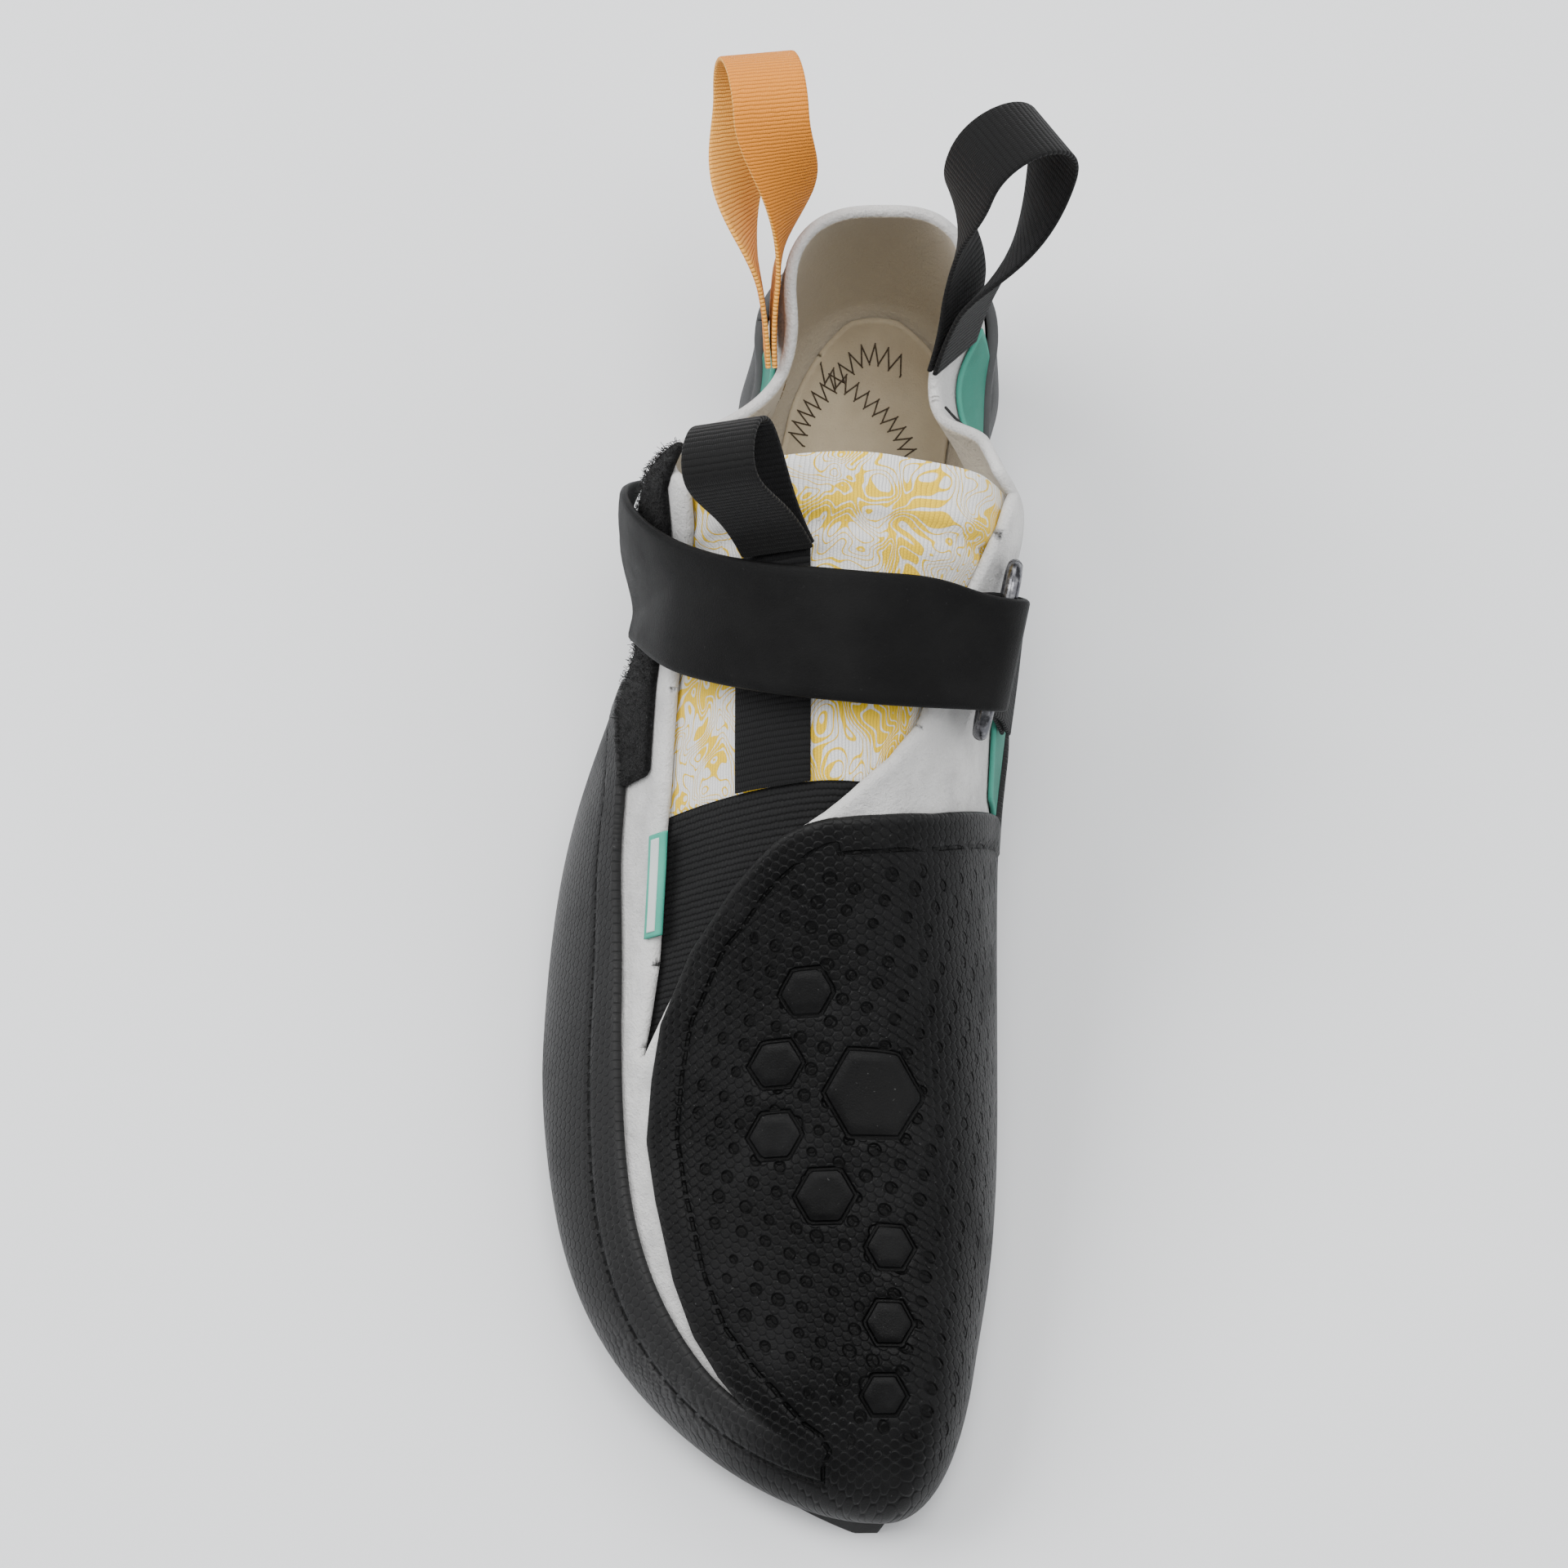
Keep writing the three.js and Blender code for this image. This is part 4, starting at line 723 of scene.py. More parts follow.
def use(tree, made, **inputs):
    return add(tree, "ShaderNodeGroup", {k.replace("_", " "): v for k, v in inputs.items()}, node_tree=made)


FLOAT, VECTOR = "NodeSocketFloat", "NodeSocketVector"


# %% [markdown]
# Split suede is a felt of short fibres. Seen close, it is a fine noise in height with a slower mottle in
# colour. The same group at other scales serves the lining and the felted pile.


# %% Fibre grain
def make_fibre_group():
    inputs = {"Place": (VECTOR, (0, 0, 0)), "Grain size": (FLOAT, 0.5), "Mottle size": (FLOAT, 9.0)}
    tree, given, out = group("fibre grain", inputs, {"Height": FLOAT, "Mottle": FLOAT})
    fine_scale = maths(tree, "DIVIDE", 1.0, given.outputs["Grain size"])
    slow_scale = maths(tree, "DIVIDE", 1.0, given.outputs["Mottle size"])
    fine = add(tree, "ShaderNodeTexNoise", {"Vector": given.outputs["Place"], "Scale": fine_scale,
                                            "Detail": 4.0, "Roughness": 0.65})
    slow = add(tree, "ShaderNodeTexNoise", {"Vector": given.outputs["Place"], "Scale": slow_scale,
                                            "Detail": 3.0, "Roughness": 0.55})
    tree.links.new(fine.outputs[0], out.inputs["Height"])
    tree.links.new(slow.outputs[0], out.inputs["Mottle"])
    return tree


fibre_grain = make_fibre_group()

# %% [markdown]
# The rubber of the toe and the rand is moulded with small domes in a honeycomb, about 1.8 mm apart. Two
# staggered square grids of cells make a honeycomb: each point takes the nearer of the two cell centres.


# %% Moulded scales
def make_scale_group():
    inputs = {"Place": (VECTOR, (0, 0, 0)), "Pitch": (FLOAT, 1.8)}
    tree, given, out = group("moulded scales", inputs, {"Height": FLOAT})
    inverse = maths(tree, "DIVIDE", 1.0, given.outputs["Pitch"])
    scaled = vector_maths(tree, "SCALE", given.outputs["Place"])
    tree.links.new(inverse, scaled.inputs["Scale"])
    cell = (math.sqrt(3.0), 1.0, 1.0)
    half = tuple(v / 2 for v in cell)
    distances = []
    for start in ((0, 0, 0), half):
        moved = vector_maths(tree, "ADD", scaled.outputs[0], start).outputs[0]
        flat = vector_maths(tree, "MULTIPLY", moved, (1, 1, 0)).outputs[0]
        wrapped = vector_maths(tree, "WRAP", flat, half, tuple(-v for v in half)).outputs[0]
        level = vector_maths(tree, "MULTIPLY", wrapped, (1, 1, 0)).outputs[0]
        distances.append(vector_maths(tree, "LENGTH", level).outputs["Value"])
    nearest = maths(tree, "MINIMUM", distances[0], distances[1])
    dome = band(tree, nearest, 0.56, 0.36)
    tree.links.new(dome, out.inputs["Height"])
    return tree


moulded_scales = make_scale_group()


# %% Woven ribs
def make_rib_group():
    """Ribs across a tape or a knit: the first coordinate runs along, the second across."""
    inputs = {"Place": (VECTOR, (0, 0, 0)), "Rib pitch": (FLOAT, 1.0), "Thread pitch": (FLOAT, 0.4)}
    tree, given, out = group("woven ribs", inputs, {"Height": FLOAT, "Thread": FLOAT})
    apart = add(tree, "ShaderNodeSeparateXYZ", {0: given.outputs["Place"]})
    waver = add(tree, "ShaderNodeTexNoise", {"Vector": given.outputs["Place"], "Scale": 0.6, "Detail": 1.0})
    along = maths(tree, "MULTIPLY_ADD", waver.outputs[0], 0.35, apart.outputs[0])
    turns = maths(tree, "DIVIDE", along, given.outputs["Rib pitch"])
    rib = maths(tree, "ABSOLUTE", maths(tree, "SINE", maths(tree, "MULTIPLY", turns, math.pi)))
    row = maths(tree, "MULTIPLY", maths(tree, "FLOOR", turns), 0.5)
    threads = maths(tree, "ADD", maths(tree, "DIVIDE", apart.outputs[1], given.outputs["Thread pitch"]), row)
    thread = maths(tree, "ABSOLUTE", maths(tree, "SINE", maths(tree, "MULTIPLY", threads, math.pi)))
    height = maths(tree, "MULTIPLY_ADD", thread, 0.3, maths(tree, "POWER", rib, 0.6))
    tree.links.new(height, out.inputs["Height"])
    tree.links.new(thread, out.inputs["Thread"])
    return tree


woven_ribs = make_rib_group()


# %% Dust and wear
def make_dust_group():
    """Pale dust in soft patches and specks, and a rub mask that is strongest near a piece's edge."""
    inputs = {"Place": (VECTOR, (0, 0, 0)), "Edge": (FLOAT, 5.0), "Rub width": (FLOAT, 1.2)}
    tree, given, out = group("dust and wear", inputs, {"Dust": FLOAT, "Specks": FLOAT, "Rub": FLOAT})
    patch = add(tree, "ShaderNodeTexNoise", {"Vector": given.outputs["Place"], "Scale": 0.045, "Detail": 5.0,
                                             "Roughness": 0.6})
    speck = add(tree, "ShaderNodeTexNoise", {"Vector": given.outputs["Place"], "Scale": 1.6, "Detail": 2.0})
    tree.links.new(band(tree, patch.outputs[0], 0.42, 0.72), out.inputs["Dust"])
    tree.links.new(band(tree, speck.outputs[0], 0.7, 0.78), out.inputs["Specks"])
    near = maths(tree, "DIVIDE", given.outputs["Edge"], given.outputs["Rub width"])
    ragged = maths(tree, "MULTIPLY_ADD", patch.outputs[0], -0.9, 1.3)
    rub = maths(tree, "SUBTRACT", ragged, near, clamp=True)
    tree.links.new(rub, out.inputs["Rub"])
    return tree


dust_and_wear = make_dust_group()
print("groups", [g.name for g in bpy.data.node_groups])


# %% A blank material and the places on a piece
def start_material(name, roughness, specular=0.5, sheen=0.0, coat=0.0):
    made = bpy.data.materials.new(name)
    made.use_nodes = True
    tree = made.node_tree
    shader = tree.nodes["Principled BSDF"]
    shader.inputs["Roughness"].default_value = roughness
    shader.inputs["Specular IOR Level"].default_value = specular
    shader.inputs["Sheen Weight"].default_value = sheen
    shader.inputs["Coat Weight"].default_value = coat
    return made, tree, shader


def sheet_place(tree):
    """Millimetres along and round the piece, from its UV map."""
    sheet = add(tree, "ShaderNodeUVMap", uv_map="sheet")
    return vector_maths(tree, "MULTIPLY", sheet.outputs[0], (UV_SPAN, UV_SPAN, UV_SPAN)).outputs[0]


def solid_place(tree):
    """Millimetres in space, for grain that has no direction."""
    coordinates = add(tree, "ShaderNodeTexCoord")
    scale = 1 / MM
    return vector_maths(tree, "MULTIPLY", coordinates.outputs["Object"], (scale, scale, scale)).outputs[0]


def swapped(tree, place):
    """The same place with its first two coordinates exchanged, so that ribs run the other way."""
    apart = add(tree, "ShaderNodeSeparateXYZ", {0: place})
    joined = add(tree, "ShaderNodeCombineXYZ", {0: apart.outputs[1], 1: apart.outputs[0]})
    return joined.outputs[0]


def value_of(tree, name):
    return add(tree, "ShaderNodeAttribute", attribute_name=name).outputs["Fac"]


def relief(tree, shader, height, depth_mm):
    bump = add(tree, "ShaderNodeBump", {"Height": height, "Distance": depth_mm * MM, "Strength": 1.0})
    tree.links.new(bump.outputs[0], shader.inputs["Normal"])


def paint(tree, shader, colour):
    tree.links.new(colour, shader.inputs["Base Color"])


# %% [markdown]
# The suede is off-white, felted and dry, with grey handling marks and small specks of chalk and dust.


# %% Suede
def make_suede():
    made, tree, shader = start_material("suede", 0.95, 0.15, 0.25)
    place = solid_place(tree)
    grain = use(tree, fibre_grain, Place=place, Grain_size=0.55, Mottle_size=7.0)
    coarse = use(tree, fibre_grain, Place=place, Grain_size=1.8, Mottle_size=24.0)
    dust = use(tree, dust_and_wear, Place=place, Edge=value_of(tree, "edge"), Rub_width=2.5)
    white, grey = (0.68, 0.675, 0.665, 1), (0.50, 0.495, 0.49, 1)
    base = mix(tree, band(tree, grain.outputs["Mottle"], 0.3, 0.75), white, grey)
    base = mix(tree, band(tree, coarse.outputs["Mottle"], 0.45, 0.75), base, (0.55, 0.545, 0.54, 1))
    base = mix(tree, band(tree, grain.outputs["Height"], 0.62, 0.75), base, (0.33, 0.325, 0.32, 1))
    base = mix(tree, maths(tree, "MULTIPLY", dust.outputs["Rub"], 0.5), base, (0.70, 0.69, 0.675, 1))
    tan = (0.66, 0.59, 0.47, 1)
    paint(tree, shader, mix(tree, band(tree, value_of(tree, "face"), 0.3, 0.1), base, tan))
    height = maths(tree, "MULTIPLY_ADD", coarse.outputs["Height"], 1.4, grain.outputs["Height"])
    relief(tree, shader, height, 0.45)
    return made


SUEDE = make_suede()


# %% [markdown]
# The toe rubber is one moulded piece: a cap over the toes and a rand along the outer side. It carries the
# scales, a grid of small dents, smooth six-sided plates and a thin groove along its upper edges. Distances to
# the plates and the edge come from the mesh, because a distance is smooth even where its line is sharp.


# %% Black rubber of the toe
def make_toe_material():
    made, tree, shader = start_material("moulded black rubber", 0.5, 0.1)
    place = sheet_place(tree)
    solid = solid_place(tree)
    plate, rim = value_of(tree, "plate"), value_of(tree, "rim")
    dots_here = value_of(tree, "dots")
    dust = use(tree, dust_and_wear, Place=solid, Edge=value_of(tree, "edge"), Rub_width=1.4)
    scales = use(tree, moulded_scales, Place=swapped(tree, place), Pitch=1.8)
    fine = use(tree, fibre_grain, Place=solid, Grain_size=0.35, Mottle_size=16.0)
    off_plate = band(tree, plate, 0.3, 0.9)
    turned = add(tree, "ShaderNodeVectorRotate", {"Vector": place, "Angle": math.radians(24)},
                 rotation_type="Z_AXIS")
    dents = add(tree, "ShaderNodeTexVoronoi", {"Vector": turned.outputs[0], "Scale": 1 / 4.7,
                                               "Randomness": 0.22},
                voronoi_dimensions="2D")
    size = add(tree, "ShaderNodeTexNoise", {"Vector": place, "Scale": 0.09, "Detail": 1.0})
    reach = maths(tree, "MULTIPLY_ADD", size.outputs[0], 0.24, 0.1)
    dent = band(tree, maths(tree, "SUBTRACT", dents.outputs["Distance"], reach), 0.04, -0.05)
    dent = maths(tree, "MULTIPLY", maths(tree, "MULTIPLY", dent, dots_here), off_plate)
    groove = band(tree, maths(tree, "ABSOLUTE", maths(tree, "SUBTRACT", plate, 0.1)), 0.55, 0.15)
    seam = band(tree, maths(tree, "ABSOLUTE", maths(tree, "SUBTRACT", rim, 5.6)), 0.5, 0.15)
    apart = add(tree, "ShaderNodeSeparateXYZ", {0: place})
    dash = maths(tree, "FRACT", maths(tree, "DIVIDE", apart.outputs[0], 3.4))
    seam = maths(tree, "MULTIPLY", seam, band(tree, dash, 0.2, 0.3))
    scale_height = maths(tree, "MULTIPLY", maths(tree, "MULTIPLY", scales.outputs[0], off_plate), 0.6)
    height = maths(tree, "MULTIPLY_ADD", dent, -4.0, scale_height)
    height = maths(tree, "MULTIPLY_ADD", groove, -1.3, height)
    height = maths(tree, "MULTIPLY_ADD", seam, -1.2, height)
    height = maths(tree, "MULTIPLY_ADD", fine.outputs["Height"], 0.22, height)
    relief(tree, shader, height, 0.3)
    black, grey = (0.0025, 0.0025, 0.0026, 1), (0.015, 0.015, 0.0155, 1)
    base = mix(tree, band(tree, fine.outputs["Mottle"], 0.35, 0.8), black, (0.0055, 0.0055, 0.0056, 1))
    base = mix(tree, maths(tree, "MULTIPLY", dust.outputs["Dust"], 0.35), base, grey)
    # Painted light: the rand, below the cap, is painted lighter for the light that falls on its side.
    base = mix(tree, maths(tree, "MULTIPLY", value_of(tree, "side"), 0.6), base, (0.024, 0.024, 0.0245, 1))
    base = mix(tree, maths(tree, "MULTIPLY", dust.outputs["Rub"], 0.3), base, (0.04, 0.04, 0.04, 1))
    base = mix(tree, maths(tree, "MULTIPLY", value_of(tree, "scuff"), 0.6), base, (0.085, 0.085, 0.086, 1))
    base = mix(tree, maths(tree, "MULTIPLY", dust.outputs["Specks"], 0.35), base, (0.12, 0.12, 0.12, 1))
    # Painted shade: the dents, the grooves round the plates and the dashed seam groove are painted near black
    # for the shade in these recesses.
    deep = maths(tree, "MAXIMUM", maths(tree, "MAXIMUM", dent, groove), seam)
    paint(tree, shader, mix(tree, maths(tree, "MULTIPLY", deep, 0.9), base, (0.0008, 0.0008, 0.0008, 1)))
    rough = maths(tree, "MULTIPLY_ADD", dust.outputs["Dust"], 0.16, 0.44)
    tree.links.new(maths(tree, "MULTIPLY_ADD", scales.outputs[0], -0.06, rough), shader.inputs["Roughness"])
    return made


TOE_RUBBER = make_toe_material()


# %% [markdown]
# The other rubbers are smooth. They could be one black, but each has its own depth of colour, a little dust
# and worn edges, so one function takes those as numbers.


# %% Smooth rubbers: sole, heel cup, strap and tag
def make_smooth_rubber(name, dark, light, roughness, depth=0.12, dusty=0.3):
    made, tree, shader = start_material(name, roughness, 0.1)
    solid = solid_place(tree)
    dust = use(tree, dust_and_wear, Place=solid, Edge=value_of(tree, "edge"), Rub_width=1.0)
    fine = use(tree, fibre_grain, Place=solid, Grain_size=0.3, Mottle_size=13.0)
    base = mix(tree, band(tree, fine.outputs["Mottle"], 0.3, 0.75), (*dark, 1), (*light, 1))
    pale = tuple(min(2.6 * v + 0.012, 1) for v in light)
    base = mix(tree, maths(tree, "MULTIPLY", dust.outputs["Dust"], dusty), base, (*pale, 1))
    base = mix(tree, maths(tree, "MULTIPLY", dust.outputs["Rub"], 0.35), base, (*pale, 1))
    paint(tree, shader, mix(tree, maths(tree, "MULTIPLY", dust.outputs["Specks"], 0.4), base, (*pale, 1)))
    rough = maths(tree, "MULTIPLY_ADD", dust.outputs["Dust"], 0.15, roughness)
    tree.links.new(rough, shader.inputs["Roughness"])
    relief(tree, shader, fine.outputs["Height"], depth)
    return made


SOLE_RUBBER = make_smooth_rubber("sole rubber", (0.005, 0.005, 0.0052), (0.009, 0.009, 0.009), 0.55, 0.2, 0.3)
HEEL_RUBBER = make_smooth_rubber("grey heel rubber", (0.03, 0.031, 0.032), (0.05, 0.051, 0.052), 0.5)
STRAP_RUBBER = make_smooth_rubber("strap rubber", (0.003, 0.003, 0.0031), (0.0055, 0.0055, 0.0055), 0.5,
                                  0.14, 0.12)
TEAL_RUBBER = make_smooth_rubber("teal rubber", (0.05, 0.30, 0.22), (0.07, 0.36, 0.27), 0.45, 0.08, 0.1)
PALE_RUBBER = make_smooth_rubber("pale rubber", (0.5, 0.56, 0.55), (0.58, 0.62, 0.61), 0.5, 0.08, 0.1)
TEAL_LEATHER = make_smooth_rubber("teal synthetic", (0.03, 0.17, 0.125), (0.045, 0.21, 0.16), 0.6, 0.2, 0.1)


# %% [markdown]
# Grosgrain is a tape with close ribs across it. Orange and black tapes are the same cloth in other colours,
# so one function makes both. The valleys between the ribs are painted darker as painted shade, and the
# tape's underside, the inside of each loop, is painted deeper in colour as painted shade.


# %% Woven tapes
def make_tape(name, dark, light, inside, rib=1.0):
    made, tree, shader = start_material(name, 0.75, 0.15, 0.05)
    place = sheet_place(tree)
    ribs = use(tree, woven_ribs, Place=place, Rib_pitch=rib, Thread_pitch=0.45)
    dust = use(tree, dust_and_wear, Place=solid_place(tree), Edge=5.0, Rub_width=1.0)
    # Painted shade: the valleys between the ribs take the dark colour and the crests the light one.
    base = mix(tree, band(tree, ribs.outputs["Height"], 0.3, 1.0), (*dark, 1), (*light, 1))
    base = mix(tree, maths(tree, "MULTIPLY", ribs.outputs["Thread"], 0.25), base, (*dark, 1))
    # Painted shade: the underside faces, which form the inside of the loops, take the deeper inside colour.
    base = mix(tree, maths(tree, "MULTIPLY", band(tree, value_of(tree, "face"), 0.6, 0.4), 0.8), base,
               (*inside, 1))
    pale = tuple(min(1.6 * v + 0.03, 1) for v in light)
    paint(tree, shader, mix(tree, maths(tree, "MULTIPLY", dust.outputs["Specks"], 0.3), base, (*pale, 1)))
    relief(tree, shader, ribs.outputs["Height"], 0.22)
    return made


BLACK_TAPE = make_tape("black grosgrain", (0.0012, 0.0012, 0.0013), (0.0085, 0.0085, 0.009),
                       (0.004, 0.004, 0.004), 1.25)
ORANGE_TAPE = make_tape("orange grosgrain", (0.50, 0.18, 0.018), (0.88, 0.44, 0.09), (0.72, 0.22, 0.012), 0.8)


# %% [markdown]
# The stretch tongue is a white ribbed cloth with a yellow line print. The lines here are a plain pattern of
# contour loops: lines of equal height through a slow noise, like a map's, with some thicker strokes.


# %% Printed stretch
def make_stretch():
    made, tree, shader = start_material("printed stretch", 0.7, 0.25, 0.2)
    place = sheet_place(tree)
    hills = add(tree, "ShaderNodeTexNoise", {"Vector": place, "Scale": 0.1, "Detail": 1.0, "Distortion": 0.9})
    level = maths(tree, "FRACT", maths(tree, "MULTIPLY", hills.outputs[0], 15.0))
    off = maths(tree, "ABSOLUTE", maths(tree, "SUBTRACT", level, 0.5))
    weight = add(tree, "ShaderNodeTexNoise", {"Vector": place, "Scale": 0.11, "Detail": 0.0})
    width = maths(tree, "MULTIPLY_ADD", band(tree, weight.outputs[0], 0.46, 0.62), 0.3, 0.09)
    line = band(tree, maths(tree, "SUBTRACT", off, width), 0.03, -0.03)
    ribs = use(tree, woven_ribs, Place=swapped(tree, place), Rib_pitch=0.7, Thread_pitch=0.5)
    # Painted shade: the white and the yellow are each painted darker in the valleys between the ribs.
    white = mix(tree, band(tree, ribs.outputs["Height"], 0.1, 0.9), (0.50, 0.49, 0.46, 1),
                (0.76, 0.755, 0.735, 1))
    yellow = mix(tree, band(tree, ribs.outputs["Height"], 0.1, 0.9), (0.62, 0.38, 0.01, 1),
                 (0.84, 0.55, 0.015, 1))
    inside = band(tree, value_of(tree, "face"), 0.3, 0.1)
    cloth = mix(tree, line, white, yellow)
    paint(tree, shader, mix(tree, inside, cloth, (0.55, 0.52, 0.44, 1)))
    height = maths(tree, "MULTIPLY_ADD", line, 0.35, ribs.outputs["Height"])
    relief(tree, shader, height, 0.12)
    return made


STRETCH = make_stretch()


# %% [markdown]
# Knit shows close dark ribs, painted darker between them as painted shade, and pale fibres. Pile is a soft
# dark mat, so its relief is deep and has no direction; its hollows are painted darker as painted shade.


# %% Knit and pile
def make_knit():
    made, tree, shader = start_material("black ribbed knit", 0.85, 0.15, 0.04)
    place = sheet_place(tree)
    ribs = use(tree, woven_ribs, Place=place, Rib_pitch=1.15, Thread_pitch=0.9)
    fibre = use(tree, fibre_grain, Place=solid_place(tree), Grain_size=0.4, Mottle_size=12.0)
    # Painted shade: the knit is painted darker in the valleys between its ribs.
    base = mix(tree, band(tree, ribs.outputs["Height"], 0.3, 1.1), (0.0015, 0.0015, 0.0016, 1),
               (0.013, 0.013, 0.0135, 1))
    paint(tree, shader, mix(tree, band(tree, fibre.outputs["Height"], 0.66, 0.74), base,
                            (0.06, 0.06, 0.06, 1)))
    height = maths(tree, "MULTIPLY_ADD", fibre.outputs["Height"], 0.5, ribs.outputs["Height"])
    relief(tree, shader, height, 0.3)
    return made


def make_pile():
    made, tree, shader = start_material("black loop pile", 0.9, 0.12, 0.05)
    fibre = use(tree, fibre_grain, Place=solid_place(tree), Grain_size=0.6, Mottle_size=5.0)
    # Painted shade: the pile is painted darker where its relief is low.
    base = mix(tree, band(tree, fibre.outputs["Height"], 0.4, 0.7), (0.0015, 0.0015, 0.0015, 1),
               (0.012, 0.012, 0.0125, 1))
    paint(tree, shader, mix(tree, band(tree, fibre.outputs["Height"], 0.68, 0.74), base,
                            (0.12, 0.12, 0.12, 1)))
    relief(tree, shader, fibre.outputs["Height"], 0.9)
    return made


KNIT, PILE = make_knit(), make_pile()


# %% [markdown]
# The lining is a tan felted cloth, the threads are twisted and the ring is dark plated metal. A texture on
# the metal roughness keeps its shine from being the same everywhere.


# %% Lining, thread and metal
def make_lining():
    made, tree, shader = start_material("tan lining", 0.9, 0.2, 0.2)
    solid = solid_place(tree)
    fibre = use(tree, fibre_grain, Place=solid, Grain_size=0.45, Mottle_size=15.0)
    dust = use(tree, dust_and_wear, Place=solid, Edge=value_of(tree, "edge"), Rub_width=4.0)
    base = mix(tree, band(tree, fibre.outputs["Mottle"], 0.3, 0.75), (0.70, 0.61, 0.45, 1),
               (0.58, 0.49, 0.35, 1))
    base = mix(tree, maths(tree, "MULTIPLY", dust.outputs["Dust"], 0.3), base, (0.44, 0.38, 0.29, 1))
    paint(tree, shader, mix(tree, band(tree, fibre.outputs["Height"], 0.68, 0.76), base,
                            (0.28, 0.23, 0.17, 1)))
    relief(tree, shader, fibre.outputs["Height"], 0.25)
    return made


def make_thread(name, colour):
    made, tree, shader = start_material(name, 0.7, 0.3)
    twist = add(tree, "ShaderNodeTexNoise", {"Vector": solid_place(tree), "Scale": 3.0, "Detail": 2.0})
    dark = tuple(0.5 * v for v in colour)
    paint(tree, shader, mix(tree, band(tree, twist.outputs[0], 0.35, 0.65), (*dark, 1), (*colour, 1)))
    return made


def make_metal():
    made, tree, shader = start_material("gunmetal", 0.28)
    shader.inputs["Metallic"].default_value = 1.0
    scratch = add(tree, "ShaderNodeTexNoise", {"Vector": solid_place(tree), "Scale": 0.9, "Detail": 6.0})
    paint(tree, shader, mix(tree, band(tree, scratch.outputs[0], 0.4, 0.7), (0.09, 0.09, 0.1, 1),
                            (0.19, 0.19, 0.2, 1)))
    tree.links.new(maths(tree, "MULTIPLY_ADD", scratch.outputs[0], 0.25, 0.14), shader.inputs["Roughness"])
    relief(tree, shader, scratch.outputs[0], 0.03)
    return made


LINING, GUNMETAL = make_lining(), make_metal()
TAUPE_THREAD = make_thread("taupe thread", (0.12, 0.09, 0.06))
TAN_THREAD = make_thread("tan thread", (0.24, 0.17, 0.085))
BLACK_THREAD = make_thread("black thread", (0.018, 0.018, 0.018))
print("materials", len(bpy.data.materials))

# %% [markdown]
# The upper is one wall of suede. It is thickest where its edge is left raw at the collar and the flap, and
# listed troughs and ridges give the creases that a worn shoe has where it bends.


# %% Suede upper
# Creases: where they start and end as (share, turn), how deep in mm and how wide in mm
UPPER_CREASES = (
    ((0.245, 0.13), (0.262, 0.20), -0.9, 6.0),
    ((0.20, 0.17), (0.225, 0.26), -1.1, 7.0),
    ((0.30, 0.14), (0.36, 0.20), 0.6, 8.0),
    ((0.17, -0.20), (0.21, -0.28), -1.0, 7.0),
    ((0.06, -0.10), (0.05, -0.24), -0.6, 8.0),
    ((0.05, 0.08), (0.06, 0.24), -0.6, 8.0),
)


def crease_lift(data, creases):
    """The height that soft troughs and ridges add, from distances in the flat sheet."""
    total = np.zeros(len(data["share"]))
    for start, end, depth, width in creases:
        shares, turns = np.array([start[0], end[0]]), np.array([start[1], end[1]])
        a, b = np.stack([shares * LAST_LENGTH, girth_of(shares, turns)], 1)
        here = np.stack([data["along"], data["girth"]], 1)
        part = np.clip(((here - a) @ (b - a)) / ((b - a) @ (b - a)), 0, 1)
        away = np.linalg.norm(here - a - part[:, None] * (b - a), axis=1)
        total += depth * hump(away, 0, width) * (0.35 + 0.65 * np.sin(np.pi * part))
    return total


def upper_outside(data):
    raw_edge = 0.5 * (1 - smooth(data["edge"], 0.5, 4.5))
    return UPPER_WALL + raw_edge + crease_lift(data, UPPER_CREASES)


def upper_inside(data):
    return np.minimum(crease_lift(data, UPPER_CREASES), 0) * 0.8


fine, plain = GRIDS["fine"], GRIDS["plain"]
upper_level = np.minimum(-open_top(plain), -under_foot(plain, 13.0, 4.0))
dress(layer_piece("suede_upper", plain, upper_level, upper_inside, upper_outside, 0.45), "upper",
      SUEDE)


# %% [markdown]
# The cap and the rand are one layer on the last, cut by two lines. Plates and the stepped rim are real
# steps in the mesh. The finer grid keeps their edges sharp.


# %% Toe cap and rand
PLATE_TABLE = (
    {"x": -12.0, "y": -132.0, "radius": 5.3},
    {"x": -17.9, "y": -144.3, "radius": 5.3},
    {"x": -18.1, "y": -157.0, "radius": 5.3},
    {"x": 1.0, "y": -150.0, "radius": 9.7},
    {"x": -8.4, "y": -168.3, "radius": 5.9},
    {"x": 4.2, "y": -177.5, "radius": 4.8},
    {"x": 4.0, "y": -191.2, "radius": 4.8},
    {"x": 3.0, "y": -204.4, "radius": 4.5},
)


def hexagon_distance(dx, dy, radius):
    """Distance outside a hexagon with two edges level, below zero inside. radius goes to a corner."""
    flat = radius * math.sqrt(3) / 2
    slant = np.abs(dx) * math.sqrt(3) / 2 + np.abs(dy) / 2
    return np.maximum(slant, np.abs(dy)) - flat


